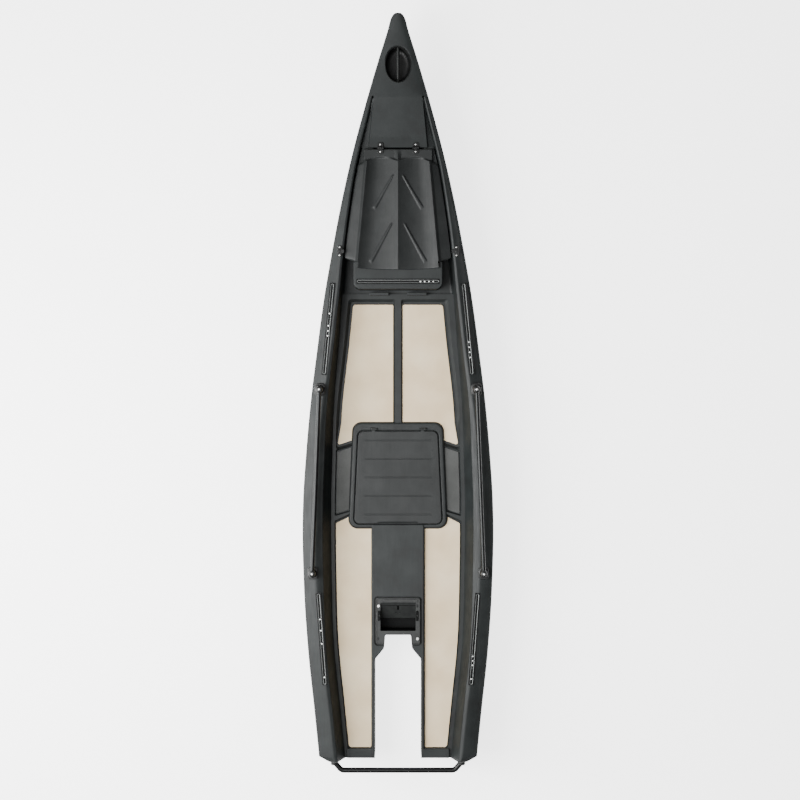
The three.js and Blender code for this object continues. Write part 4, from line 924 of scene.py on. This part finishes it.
def rimMesh():
    # outlines from the outer foot over the rounded rim, down to the ledge and through the well
    gap, well, ledge = lid["gap"], lidPlan(-lid["ledge"]), lid["ledgeZ"]
    levels = [(rimPlan(), floorFoot)]
    levels += [(rimPlan(-out), rim["top"] - down) for out, down in quarter(rim["edge"])]
    levels += [(lidPlan(gap + out), rim["top"] - down) for out, down in quarter(rim["innerEdge"])[::-1]]
    return stacked(levels + [(lidPlan(gap), ledge), (well, ledge), (well, floorFoot)], wrapRows=True)


def lidEar(x):
    # an ear of the lid's hinge: half a disc over a block that stands in the rim
    r, foot, angle = lid["knuckle"], rim["top"] - 4, np.linspace(0, math.pi, 13)
    side = list(zip(lidHingeY + r * np.cos(angle), lidHingeZ + r * np.sin(angle)))
    side += [(lidHingeY - r, foot), (lidHingeY + r, foot)]
    return ringsMesh([[(x + across, y, z) for y, z in side] for across in (0, lid["earWidth"])])


def padPlan(kind, sign=1, outward=0, endward=0, inward=0, radius=pads["radius"]):
    # a pad's plan, or a larger one round it: outward at the wall, endward at its ends, inward
    if kind == "front":
        front, aft, margin = dashY - pads["frontSetback"] + endward, rimFrontY, "frontMargin"
    elif kind == "side":
        front, aft = rimFrontY - pads["sideFront"] + endward, rimFrontY - pads["sideAft"] - endward
        margin = "sideMargin"
    else:
        front = rimFrontY - pads["rearFront"] + endward
        aft = sternY + floorPlan["sillLength"] + pads["gap"] - endward
        margin = "rearMargin"
    ys = np.linspace(front, aft, pads["stations"])
    corners = [(innerFoot(y) - pads[margin] + outward, y) for y in ys]
    if kind == "front":
        aft, inner = rimFrontY - pads["frontAftFromRim"], floorPlan["ribHalf"] + pads["gap"] - inward
        slantY = aft + pads["frontSlant"] - endward
        corners = [(inner, front)] + corners
        tail = innerFoot(aft) - pads["sideMargin"] + min(outward, pads["tailReach"])
        corners += [(tail, aft - endward), (lid["frontHalf"], slantY), (inner, slantY)]
        radii = [0.5, 2] + [0] * (len(ys) - 1) + [0.7, 1, 0]
    elif kind == "side":
        corners += [(lid["frontHalf"], y + pads["sideSlant"]) for y in (aft, front)]
        radii = [0.8] + [0] * (len(ys) - 2) + [0.8, 0, 0]
    else:
        inner, fore = floorPlan["spineHalf"] + pads["gap"] - inward, front + pads["rearSlant"]
        corners += [(inner, aft), (inner, fore), (lid["aftHalf"], fore)]
        radii = [0.8] + [0] * (len(ys) - 2) + [1.2, 0.7, 0, 0]
    plan = rounded(corners, radius * np.array(radii))
    return plan if sign > 0 else plan[::-1] * (-1, 1)


def trayMesh(kind, sign):
    # the hollow that a pad lies in: its plan at the floor, and a wider one at the border's top
    radius, top = floorPlan["trayRadius"] if kind == "front" else pads["radius"], floorPlan["borderTop"]
    foot, wide = (padPlan(kind, sign, *reach, radius) for reach in trays[kind])
    return stacked([(foot, floorZ - 0.5), (wide, top + 0.5), (wide, top + past)])


def betweenWalls(front, aft):
    ys = np.linspace(front, aft, floorPlan["stations"])
    half = wallFoot(ys) + floorPlan["marginUnderWall"]
    return np.concatenate([np.column_stack([half, ys]), np.column_stack([-half, ys])[::-1]])


def makeBorder():
    top = floorPlan["borderTop"]
    piece = newPiece("border", slab(betweenWalls(dashY + 8, sternY + 1), floorZ - 1, top))
    cut(piece, *(trayMesh(kind, sign) for kind in trays for sign in (1, -1)),
        slab(lidPlan(lid["gap"] + 1), floorZ - past, top + past))
    return shapeOf(piece)


def makeFloor():
    piece = newPiece("cockpit_floor_skin", slab(betweenWalls(hingeY + 8, sternY + 0.5), floorFoot, floorZ))
    bay = coamingPlan(-coaming["wall"] - coaming["ledge"])
    cut(piece, *(slab(plan, floorFoot - past, floorZ + past) for plan in (lidPlan(-lid["ledge"] + 4), bay)))
    top, e = floorPlan["spineTop"], floorPlan["spineEdge"]
    spine = oblong(floorPlan["spineHalf"], sternY, lidAftY - lid["gap"] - 1, 4)
    sill = oblong(innerFoot(sternY) - 2, sternY, sternY + floorPlan["sillLength"], 6)
    reach = lid["knuckleWidth"] / 2 + clearance
    ears = [lidEar(s * lid["hingeSpread"] + x) for s in (1, -1) for x in (reach, -reach - lid["earWidth"])]
    fuse(piece, makeBorder(), rimMesh(), *(slab(plan, floorFoot, top, e, 5) for plan in (spine, sill)), *ears)
    near, far = floorPlan["pitY"]
    pit = oblong(floorPlan["pit"], driveHigh[1] - far, driveHigh[1] - near, 5)
    width, depth = floorPlan["channel"]
    around, bottom = inset(mountPlan, -width), top - depth
    levels = ((around, top + 5), (around, bottom), (mountPlan, bottom), (mountPlan, top + 5))
    channel = stacked(levels, wrapRows=True)
    cut(piece, channel, *(slab(plan, floorFoot - past, top + past) for plan in (pit, slotPlan())))
    fit(piece, hullPlastic, "cockpit_floor")


# Frame of the front hatch, with the dash behind it
dash = {
    "half": 215, "top": 312, "radius": 34, "edge": 4, "lap": 5, "lipTop": 256, "lipDepth": 13,
    "lipSpan": (45, 140), "aftFace": 26,
}


def coamingPlan(grown=0):
    return taper(coamingFrontY, coamingAftY, *coamingHalves, coaming["radius"], grown)


def coamingMesh():
    # outlines up the outer wall, over the rounded flange, back under it and down the inner wall
    base, top, flange = floorZ + clearance, coaming["top"], coaming["flange"]
    inner, under = coamingPlan(-coaming["wall"]), top - coaming["flangeDepth"]
    levels = [(coamingPlan(), base)]
    levels += [(coamingPlan(-out), top - down) for out, down in quarter(coaming["edge"])]
    levels += [(coamingPlan(out - flange), top - down) for out, down in quarter(coaming["edge"])[::-1]]
    return stacked(levels + [(coamingPlan(-flange), under), (inner, under), (inner, base)], wrapRows=True)


def makeCoaming():
    base, r = floorZ + clearance, dash["radius"]
    plan = oblong(dash["half"], dashY + dash["aftFace"], coamingAftY + dash["lap"], [r, 6, 6, r], 10)
    piece = newPiece("hatch_frame", slab(plan, base, dash["top"], dash["edge"], 6))
    cut(piece, slab(coamingPlan(-0.5), coaming["top"] - 30, dash["top"] + past), pocketFor("dash_track"))
    near, far = dash["lipSpan"]
    front = dashY + dash["lipDepth"]
    lip = np.array([(near, front), (far, front), (far, dashY), (near, dashY)])
    fuse(piece, coamingMesh(), *(slab(rounded(lip * (s, 1), 4), base, dash["lipTop"], 2) for s in (1, -1)))
    fit(piece, hullPlastic, "hatch_coaming")


makeFloor()
makeCoaming()
print("floor and hatch frame made")

# Front hatch cover: two troughs either side of a centre ridge, wings outboard of the shoulders
cover = {
    "flangeTop": 326, "flangeHalf": 166, "flangeLength": 56, "riseLength": 9, "archLength": 17,
    "ridgeRun": 60, "ridgeHalf": 16, "ridgeShare": 0.7, "aftBow": 8, "ridge": 342,
    "valley": 320, "valleyShare": 0.62, "shoulder": 340,
    "shoulderHalf": (149, 197), "stripWidth": 13, "stripDrop": 13, "wing": 314, "wingGap": 6,
    "wingFront": 82, "wingAft": 530, "cornerLength": 26, "wall": 6, "edge": 4,
    "ribHeight": 4, "ribHalf": (5, 12), "keeper": (4, 10, 304),
    "ribs": ((20, 119, 126, 168), (27, 136, 358, 196)),  # from x to x, start behind the hinge, length
    "rows": 230, "columns": 201, "innerShare": 0.78,  # of the columns lies between the shoulders
    "length": 578, "frontGap": 4,
}
coverFrontY, coverAftY = hingeY - cover["frontGap"], hingeY - cover["length"]


def shoulderHalf(y):
    near, far = cover["shoulderHalf"]
    return mix(near, far, ramp(hingeY - y, cover["flangeLength"], cover["length"]))


def coverHalf(y):
    # flange, then out along a short slant to the wing's edge, and in again at the aft corner
    behind = hingeY - y
    front = ease(ramp(behind, cover["flangeLength"], cover["wingFront"]))
    aft = ease(ramp(behind, cover["wingAft"] - 6, cover["wingAft"] + cover["cornerLength"]))
    return mix(mix(cover["flangeHalf"], innerTop(y) - cover["wingGap"], front), shoulderHalf(y), aft)


def coverTop(x, y):
    # across each side: a parabola from the ridge down to the valley and up to the shoulder, a
    # short steep strip, then the wing; ahead of it the flange, joined by an S-shaped rise
    across, shoulder, behind = np.abs(x), shoulderHalf(y), hingeY - y
    valley, flange = cover["valley"], cover["flangeLength"]
    share, low = np.clip(across / shoulder, 0, 1), cover["valleyShare"]
    nearSide = ((low - share) / low) ** 2 * (cover["ridge"] - valley)
    farSide = ((share - low) / (1 - low)) ** 2 * (cover["shoulder"] - valley)
    beside = across - shoulder
    wingTop = cover["shoulder"] - cover["stripDrop"]
    outboard = cover["shoulder"] - cover["stripDrop"] * ramp(beside, 0, cover["stripWidth"])
    wingEdge = np.maximum(coverHalf(y) - shoulder, 1)
    outboard = outboard - (wingTop - cover["wing"]) * ramp(beside, cover["stripWidth"], wingEdge)
    body = np.where(beside < 0, valley + np.where(share < low, nearSide, farSide), outboard)
    # the troughs' front walls bow forward, and the ridge runs out over the flange
    arch = cover["archLength"] * (1 - (2 * share - 1) ** 2)
    rise = ease(ramp(behind + arch, flange, flange + cover["riseLength"]))
    runOut = ease(ramp(behind, flange - cover["ridgeRun"], flange)) * cover["ridgeShare"]
    ridge = (cover["ridge"] - cover["flangeTop"]) * runOut * (1 - ramp(across, 0, cover["ridgeHalf"]))
    top = mix(cover["flangeTop"] + ridge, body, rise)
    narrow, wide = cover["ribHalf"]
    for near, far, start, length in cover["ribs"]:
        run = np.array([far - near, -length])
        dx, dy = across - near, start - behind
        t = (dx * run[0] + dy * run[1]) / (run @ run)
        away = np.abs(dx * run[1] - dy * run[0]) / np.linalg.norm(run)
        reach = mix(narrow, wide, np.clip(t, 0, 1))
        fade = ease(ramp(0.5 - np.abs(t - 0.5), 0, 0.08))
        top = top + cover["ribHeight"] * fade * ease(1 - ramp(away, reach * 0.35, reach))
    return top


def makeCover():
    rows, columns, inner, e = (cover[key] for key in ("rows", "columns", "innerShare", "edge"))
    u, v = np.linspace(-1, 1, columns), np.linspace(0, 1, rows)[:, None]
    bulge = cover["aftBow"] * (1 - np.minimum(1, np.abs(u) / inner) ** 2)
    y = mix(coverFrontY, coverAftY, v) - v ** 3 * bulge
    half = coverHalf(y)
    shoulder = np.minimum(shoulderHalf(y), half - 1)
    wing = np.sign(u) * mix(shoulder, half, (np.abs(u) - inner) / (1 - inner))
    x = np.where(np.abs(u) < inner, u / inner * shoulder, wing)
    fromEdge = np.minimum(np.minimum(half - np.abs(x), coverFrontY - y), y - y[-1:])
    d = e - np.clip(fromEdge, 0, e)
    top = coverTop(x, y) - (e - np.sqrt(np.maximum(e * e - d ** 2, 0)))
    upper, lower = (np.stack([x, y, z], -1).reshape(-1, 3) for z in (top, top - cover["wall"] + d * 0.4))
    faces = gridFaces(rows, columns, wrapColumns=False)
    number = np.arange(rows * columns).reshape(rows, columns)
    around = np.concatenate([number[0], number[1:, -1], number[-1, -2::-1], number[-2:0:-1, 0]])
    ahead, count = np.roll(around, -1), rows * columns
    walls = np.stack([around, ahead, ahead + count, around + count], 1)
    allFaces = np.concatenate([faces, faces[:, ::-1] + count, walls]).tolist()
    piece = newPiece("front_hatch_cover_skin", (np.concatenate([upper, lower]), allFaces), sharp=40)
    # the rib under the cover that keeps it in the frame, its top inside the cover's wall
    near, width, foot = cover["keeper"]
    outer, inner = (dense(coamingPlan(-near - grown), 400) for grown in (0, width))
    under = [(plan, coverTop(*plan.T) - cover["wall"] / 2) for plan in (inner, outer)]
    rib = stacked([(outer, foot), (inner, foot)] + under, wrapRows=True)
    put("front_hatch_cover_rib", rib, hatchPlastic, "front_hatch_cover")
    fit(piece, hatchPlastic, "front_hatch_cover")


makeCover()

# Seals, as rounded rings lying where the frame has them, between two outlines of their hatch
for name, node, plan in (("front_hatch_gasket", "front_hatch_seal", coamingPlan),
                         ("center_hatch_gasket", "center_hatch_seal", lidPlan)):
    outer, inner, (low, high) = plan(-3), plan(-15), (corner[2] for corner in boxOf(node))
    r = (high - low) / 3
    levels = ((outer, r, low), (outer, 0, low + r), (outer, 0, high - r), (outer, r, high),
              (inner, -r, high), (inner, 0, high - r), (inner, 0, low + r), (inner, -r, low))
    ring = stacked([(inset(outline, drawn), z) for outline, drawn, z in levels], wrapRows=True)
    fit(newPiece(name, ring, sharp=60), sealRubber, node)


# Lid of the centre hatch
def troughMesh(y, half, radius, depth, ends):
    # a shallow groove across the lid, cut by a long spindle that tapers at both ends
    share, run, full = ends
    profile = [(0.01, -half), (radius * share, -half + run), (radius, -half + full)]
    profile += [(r, -x) for r, x in profile[::-1]]
    return turned(profile, (0, y, lid["top"] + radius - depth), "x", 40)


def makeLid():
    piece = newPiece("center_hatch_lid_shell", slab(lidPlan(), lidLow[2], lid["top"], lid["edge"], 5))
    half, pitch = lid["frontHalf"] - lid["grooveMargin"], (lidFrontY - lidAftY) / lid["grooves"]
    groove = half, lid["grooveRadius"], lid["grooveDepth"], lid["grooveEnds"]
    scoop = lid["scoopWidth"] / 2, lid["scoopRadius"], lid["scoopDepth"], lid["scoopEnds"]
    middles = lidFrontY - pitch * (np.arange(lid["grooves"]) + 0.5)
    cut(piece, *(troughMesh(y, *groove) for y in middles), troughMesh(lidAftY - lid["scoopAft"], *scoop))
    w, r = lid["knuckleWidth"] / 2, lid["knuckle"]
    for x in (lid["hingeSpread"], -lid["hingeSpread"]):
        fuse(piece, rod(r, x - w, x + w, (0, lidHingeY, lidHingeZ), "x", 24),
             box((x - w, x + w), (lidFrontY - 8, lidHingeY), (lidHingeZ - r, lidHingeZ - 0.5)))
    fit(piece, hatchPlastic, "center_hatch_lid")


makeLid()
print("hatches made")

# Foam pads: thin sheets with rounded corners and a cut, slightly rounded edge
for side, sign in boatSides:
    for kind, foam in (("front", sandFoam), ("side", greyFoam), ("rear", sandFoam)):
        base = floorZ + clearance
        shape = slab(padPlan(kind, sign), base, base + pads["thickness"], pads["edge"], 3)
        piece = newPiece(f"{side}_{kind}_deck_pad", shape, sharp=50)
        cut(piece, slab(rimPlan(pads["gap"]), base - past, base + past), sharp=50)
        fit(piece, foam, f"{side}_{kind}_pad")
print("pads made")

# Gear tracks: a black body with a slot over a wider cavity, and a light grey bevel round the slot, a painted
# highlight
for name, (place, length) in tracks.items():
    slot, cavity, lip, reach = track["slot"] / 2, track["cavity"] / 2, track["lip"], length / 2
    plan = oblong(track["width"] / 2, -reach, reach, track["corner"], 5)
    body = newPiece(name + "_body", slab(plan, -track["depth"], 0, track["edge"], 3))
    slotReach, wallReach = reach - track["endLand"], reach - track["endWall"]
    cut(body, slab(stadium(slot, slotReach), -lip - 1, past),
        box((-cavity, cavity), (-wallReach, wallReach), (-lip - track["cavityDepth"], -lip)))
    x, y, z, turn = place.values()
    body.data.transform(Matrix.Translation(Vector((x, y, z)) * mm) @ Matrix.Rotation(turn, 4, "Z"))
    fit(body, trackMetal, name)
    # the bevel's light grey is a painted highlight on the slot's lips
    wide = stadium(slot + track["bevel"], slotReach + track["bevel"])
    near = stadium(slot + clearance, slotReach + clearance)
    level = clearance / 3
    raised = level + track["bevelRise"]
    levels = ((wide, level), (inset(wide, 0.5), raised), (inset(near, -0.9), raised), (near, level))
    put(name + "_bevel", placed(stacked(levels, wrapRows=True), **place), slotHighlightMetal, name)

nuts = {"strip": (7.4, 4.2), "end": 10, "boss": 4, "pitch": {"dash": 20.7, "front": 24.5, "rear": 21.5}}


def makeNuts(node):
    # a dark strip in the track's cavity with a bright boss for each nut, where the frame has them
    name = next(track for track in tracks if node.startswith(track.replace("_track", "")))
    place, pitch = tracks[name][0], nuts["pitch"][name.split("_")[-2]]
    run = np.array([-math.sin(place["turn"]), math.cos(place["turn"])])
    steps = (pointsOf(frame["nodes"][node].data)[:, :2] - (place["x"], place["y"])) @ run
    low, high, end = steps.min(), steps.max(), nuts["end"]
    (half, thick), r, top = nuts["strip"], nuts["boss"], -track["lip"] - clearance
    plan = oblong(half, low + track["endWall"], high - track["endWall"], 1)
    profile = [(0.01, top - 1), (r, top - 1), (r, -1.2), (r * 0.8, -0.35), (r * 0.45, 0), (0.01, 0)]
    places = low + end + pitch * np.arange(1 + round((high - low - 2 * end) / pitch))
    bosses = joined([turned(profile, (0, y, 0), "z", 24) for y in places])
    put(node + "_strip", placed(slab(plan, top - thick, top, 0.6), **place), blackenedSteel, node)
    put(node + "_bosses", placed(bosses, **place), stainless, node)


for node in sorted(frame["nodes"]):
    if "_nut" in node:
        makeNuts(node)
print("tracks made")

# Hinges of the front hatch, with their screws
hinge = {"width": 30, "corner": 14.5, "leaf": 22, "thick": 4, "knuckle": 6, "relief": 0.5,
         "knuckleWidth": 9, "armHeight": 4, "screwIn": 11, "seat": 326.3, "axis": 333}


def screwHead(x, y, z, radius=4.5, height=2.4):
    # a domed head with a round socket
    h, s = height, radius * 0.42
    profile = [(0.01, -0.4), (radius, -0.4), (radius, h * 0.35), (radius * 0.86, h * 0.75), (radius * 0.6, h),
               (s, h), (s * 0.9, h * 0.3), (0.01, h * 0.25)]
    return turned(profile, (x, y, z), "z", 16)


def hingeLeafMesh(x, onDeck):
    # a plate rounded at its far end, with knuckles on arms round the pin
    side, w, r = 1 if onDeck else -1, hinge["width"] / 2, hinge["knuckle"]
    near = hingeY + side * (r + hinge["relief"])
    far = near + side * hinge["leaf"]
    corners = [(x + w, near), (x - w, near), (x - w, far), (x + w, far)]
    plan = rounded(corners, [1, 1, hinge["corner"], hinge["corner"]], 8)
    parts = [slab(plan, hinge["seat"], hinge["seat"] + hinge["thick"], 1.4)]
    inner, low, e = w - hinge["knuckleWidth"], hinge["axis"] - r, 0.8
    spans = [(-w, -inner), (inner, w)] if onDeck else [(-inner + clearance, inner - clearance)]
    for a, b in np.array(spans) + x:
        profile = [(0.01, a), (r - e, a), (r, a + e), (r, b - e), (r - e, b), (0.01, b)]
        parts += [turned(profile, (0, hingeY, hinge["axis"]), "x", 28),
                  box((a, b), sorted((hingeY, near + side)), (low, low + hinge["armHeight"]))]
    return joined(parts)


for side, sign in boatSides:
    x = middleOf(f"{side}_hinge_deck_leaf")[0]
    reach = hinge["knuckle"] + hinge["relief"] + hinge["leaf"] - hinge["screwIn"]
    for part, onDeck in (("deck", True), ("cover", False)):
        node = f"{side}_hinge_{part}_leaf"
        put(f"{side}_hinge_{part}_plate", hingeLeafMesh(x, onDeck), blackNylon, node)
        head = screwHead(x, hingeY + (reach if onDeck else -reach), hinge["seat"] + hinge["thick"], 4.6)
        put(f"{side}_hinge_{part}_screw", head, stainless, body=bodyOf[node])
    middle = (x, hingeY, hinge["axis"])
    put(f"{side}_hinge_pin_rod", pin(hinge["width"] / 2, middle), stainless, f"{side}_hinge_pin")
    low, high = boxOf(f"{side}_lid_pin")
    put(f"{side}_lid_pin_rod", pin((high[0] - low[0]) / 2, (low + high) / 2), stainless, f"{side}_lid_pin")

# Side catches: a plate with a post, and a tongue that turns over two sunk screws
catch = {"width": 22, "length": 54, "base": 6, "post": 4, "head": 7, "screwY": 19.5, "tongueWidth": 18,
         "tongueTail": 12, "tongueReach": 23, "tongueThick": 4, "sink": (5.2, 2.4)}


def makeCatch(side, sign):
    x, y = middleOf(f"{side}_catch_base")[:2]
    seat, w, l = deckZ + clearance, catch["width"] / 2, catch["length"] / 2
    post, head = catch["post"], catch["head"]
    tongueZ = seat + catch["base"] + clearance
    headZ = tongueZ + catch["tongueThick"] + clearance
    plan = oblong(w, -l, l, w, 8) + (x, y)
    base = newPiece(f"{side}_catch_plate", slab(plan, seat, seat + catch["base"], 1.6))
    profile = [(0.01, seat + 1), (post, seat + 1), (post, headZ), (head, headZ), (head, headZ + 1.2),
               (head - 1.6, headZ + 2.3), (0.01, headZ + 2.5)]
    fuse(base, turned(profile, (x, y, 0)))
    radius, depth = catch["sink"]
    sinkZ, ys = seat + catch["base"] - depth, (y + catch["screwY"], y - catch["screwY"])
    cut(base, *(rod(radius, sinkZ, sinkZ + past, (x, screwY, 0), "z", 24) for screwY in ys))
    nose, tail, half = -catch["tongueReach"], catch["tongueTail"], catch["tongueWidth"] / 2
    plan = rounded([(nose, -half), (tail, -half), (tail, half), (nose, half)], [4, 8, 8, 4])
    plan = plan * (sign, 1) + (x, y)
    tongue = newPiece(f"{side}_catch_lever", slab(plan, tongueZ, tongueZ + catch["tongueThick"], 1.2))
    cut(tongue, rod(post + clearance, tongueZ - past, tongueZ + past, (x, y, 0)))
    fit(base, blackNylon, f"{side}_catch_base")
    fit(tongue, blackNylon, f"{side}_catch_tongue")
    put(f"{side}_catch_screws", joined([screwHead(x, screwY, sinkZ) for screwY in ys]), stainless)


# Grab rails: a tube in the sockets of two stands, each a rounded foot with a domed boss
rail = {"radius": 10, "height": 40, "endIn": 4.3, "foot": (25, 30, 16, 8), "boss": 17, "bossTop": 57,
        "socket": (4, 60)}


def makeRail(side):
    ends = [middleOf(f"{side}_rail_{part}_mount") for part in ("front", "aft")]
    run = ends[0][:2] - ends[1][:2]
    turn, b = math.atan2(-run[0], run[1]), rail["boss"]
    w, l, corner, height = rail["foot"]
    foot = slab(oblong(w, -l, l, corner, 8), clearance, clearance + height, 3)
    profile = [(0.01, 1), (b + 5, 1), (b + 5, 8.3), (b + 2, 10), (b, 14), (b, 50), (b - 2, 54), (b - 6, 56.4),
               (0.01, rail["bossTop"])]
    socket = rod(rail["radius"] + clearance, *rail["socket"], (0, 0, rail["height"]), "y", 28)
    for part, end, way in (("front", ends[0], math.pi), ("aft", ends[1], 0)):
        spot = (end[0], end[1], deckZ, turn + way)
        piece = newPiece(f"{side}_rail_{part}_stand", placed(foot, *spot))
        fuse(piece, placed(turned(profile, sides=40), *spot))
        cut(piece, placed(socket, *spot))
        fit(piece, blackNylon, f"{side}_rail_{part}_mount")
        head = screwHead(end[0], end[1], deckZ + rail["bossTop"], 5.5, 3)
        put(f"{side}_rail_{part}_screw", head, stainless)
    reach = np.linalg.norm(run) / 2 - rail["endIn"]
    y = np.linspace(-reach, reach, 30)
    shape = tube(np.column_stack([0 * y, y, 0 * y + deckZ + rail["height"]]), rail["radius"])
    middle = (ends[0] + ends[1]) / 2
    put(f"{side}_grab_rail", placed(shape, middle[0], middle[1], 0, turn), tubeMetal, f"{side}_rail")


# Stern bar: straight across the stern, then slanting forward and out into a socket either side
sternBar = {"radius": 13, "bend": 30, "slant": (34, 40), "socket": 18, "floor": 4}


def makeSternBar():
    (low, high), r, bend = boxOf("stern_bar"), sternBar["radius"], sternBar["bend"]
    (inward, forward), half, back = sternBar["slant"], high[0] - r, low[1] + r
    starboard = [(half, high[1]), (half, back + forward), (half - inward, back)]
    line = rounded(starboard + [(-x, y) for x, y in starboard[::-1]], [0, bend, bend, bend, bend, 0], 8)
    put("stern_grab_bar", tube(lifted(line, (low[2] + high[2]) / 2), r), tubeMetal, "stern_bar")
    for side, sign in boatSides:
        low, high = boxOf(f"{side}_bar_socket")
        s, bore, floor = sternBar["socket"], r + clearance, high[1] - sternBar["floor"]
        profile = [(0.01, high[1]), (s, high[1]), (s, low[1] + 3), (s - 2, low[1]), (bore + 0.6, low[1]),
                   (bore, low[1] + 0.8), (bore, floor), (0.01, floor)]
        cup = turned(profile, ((low[0] + high[0]) / 2, 0, (low[2] + high[2]) / 2), "y", 36)
        put(f"{side}_bar_cup", cup, blackNylon, f"{side}_bar_socket")


for side, sign in boatSides:
    makeCatch(side, sign)
for side, sign in boatSides:
    makeRail(side)
makeSternBar()
print("hinges, catches, rails and stern bar made")

# Drive mount: a grey plate with a raised edge, a sloped face with a keyhole, and a box whose near-black is
# painted shade in the deep pit
mount = {
    "plate": (236.3, 241.3), "edge": 1.6, "pocketHalf": 86, "pocketY": (40, 162), "play": 0.4,
    "slopeY": (24, 104), "slopeZ": (241, 204), "slopeFoot": 30, "wall": 4, "boxFloor": 132, "barHeight": 4,
    "barY": (9, 22), "barHalf": (70, 96), "barSlant": 10, "rim": (2.2, 3, 5, 6), "rimHeight": 2.6,
    "sweep": 26.4,  # room for a latch to turn
    "holes": ((95, 40), (-95, 200)), "hole": (4.4, 8), "keyhole": (4, 48, 15), "pads": (9, 14, 2.5),
}


def makeMount():
    front, (low, top), pocket = driveHigh[1], mount["plate"], mount["pocketHalf"]
    plate = newPiece("drive_mount_plate", slab(mountPlan, low, top, mount["edge"], 3))
    d, high = mount["rim"], top + mount["rimHeight"]
    lip = [(inset(mountPlan, drawn), z) for drawn, z in (
        (d[0], top - 1), (d[0], high - 1), (d[1], high), (d[2], high), (d[3], high - 1), (d[3], top - 1))]
    (barFront, barAft), (near, far) = (front - y for y in mount["barY"]), mount["barHalf"]
    bar = rounded([(far, barFront), (-near, barFront), (-near - mount["barSlant"], barAft), (far, barAft)], 2)
    fuse(plate, stacked(lip, wrapRows=True), slab(bar, top - 1, top + mount["barHeight"], 1.5))
    openings = [oblong(pocket, front - mount["pocketY"][1], front - mount["slopeY"][0], 4), slotPlan(-0.5)]
    openings += [stadium(*mount["hole"]) + (x, front - y) for x, y in mount["holes"]]
    latches = [middleOf(f"{side}_mount_latch")[:2] for side, sign in boatSides]
    cut(plate, *(slab(plan, low - past, top + past) for plan in openings),
        *(rod(mount["sweep"], top + 0.1, top + past, (x, y, 0), "z", 48) for x, y in latches))
    fit(plate, greyNylon, "drive_mount")

    (slopeFront, slopeAft), (slopeTop, slopeFoot) = (front - y for y in mount["slopeY"]), mount["slopeZ"]
    foot = slopeFoot - mount["slopeFoot"]
    line = [(slopeFront, slopeTop), (slopeAft, slopeFoot), (slopeAft, foot), (slopeAft + 4, foot),
            (slopeAft + 6, slopeFoot - 5), (slopeFront, slopeTop - 6)]
    half = pocket - mount["play"]
    face = newPiece("drive_mount_slope", ringsMesh([[(x, y, z) for y, z in line] for x in (-half, half)]))
    (w, y, l), (padX, padY, padR) = mount["keyhole"], mount["pads"]
    low, high = foot - past, slopeTop + past
    cut(face, slab(stadium(w, l) + (0, front - y), low, high),
        *(rod(padR, low, high, (x, front - y - l - padY, 0), "z", 16) for x in (-padX, padX)))
    fit(face, greyNylon, "drive_mount")

    (boxFront, boxAft), wall, floor = (front - y for y in mount["pocketY"]), mount["wall"], mount["boxFloor"]
    outer = oblong(pocket + wall, boxAft - wall, boxFront + wall, 5)
    inner = oblong(pocket, boxAft, boxFront, 5)
    top = mount["plate"][0] - 0.1
    levels = ((outer, floor - wall), (outer, top), (inner, top), (inner, floor))
    # the pit's near-black box is painted shade
    put("drive_mount_shade_box", stacked(levels), mattNylonAndPitShade, "drive_mount")


makeMount()

# Small parts kept as the frame has them, with their edges rounded
for node, material, width in (
        ("starboard_mount_latch", mattNylonAndPitShade, 2), ("port_mount_latch", mattNylonAndPitShade, 2),
        ("starboard_mount_bolt", stainless, 0.5), ("port_mount_bolt", stainless, 0.5),
        ("drain_plug", blackNylon, 0.8)):
    fit(copied(node, width), material, node)

# Camera, floor and light: from above, bow up, with the light on the port side
view = {"height": 7.3, "frameWidth": 3.853, "sensor": 36, "middle": (9.6, -24)}
camera = bpy.data.cameras.new("camera")
camera.sensor_width = view["sensor"]
camera.lens = view["sensor"] * view["height"] / view["frameWidth"]
cameraObject = added("camera", camera)
cameraObject.location = (view["middle"][0] * mm, view["middle"][1] * mm, deckZ * mm + view["height"])
bpy.context.scene.camera = cameraObject

# matt white paint, lit from behind, as a light table is
floorPaint = surface("matt_white_paint", None, ("#f4f4f4", "#f7f7f7"), (400, 2), {
    "Emission Color": linear("#ffffff"), "Emission Strength": 3, "Roughness": 0.9, "Specular IOR Level": 0.1})
floorMesh = bpy.data.meshes.new("studio_floor")
reach, level = 120, -0.001
corners = [(-reach, -reach, level), (reach, -reach, level), (reach, reach, level), (-reach, reach, level)]
floorMesh.from_pydata(corners, [], [(0, 1, 2, 3)])
floorMesh.materials.append(floorPaint)
studioFloor = added("studio_floor", floorMesh)

for name, spot, size, power, target in (
        ("key", (-3.3, -0.5, 3.6), (2.4, 5.0), 680, (0, -0.2, 0.2)),
        ("top", (-1.1, -1.2, 6.0), (3.4, 5.2), 190, (0, -0.5, 0))):
    lamp = bpy.data.lights.new(name, "AREA")
    lamp.shape, lamp.size, lamp.size_y, lamp.energy = "RECTANGLE", size[0], size[1], power
    lampObject = added(name, lamp)
    lampObject.location = spot
    lampObject.rotation_euler = (Vector(target) - Vector(spot)).to_track_quat("-Z", "Y").to_euler()

world = bpy.data.worlds.new("studio")
world.use_nodes = True
bpy.context.scene.world = world
background = world.node_tree.nodes["Background"]
background.inputs["Color"].default_value = linear("#ffffff")
background.inputs["Strength"].default_value = 0.15
print("camera and light made")
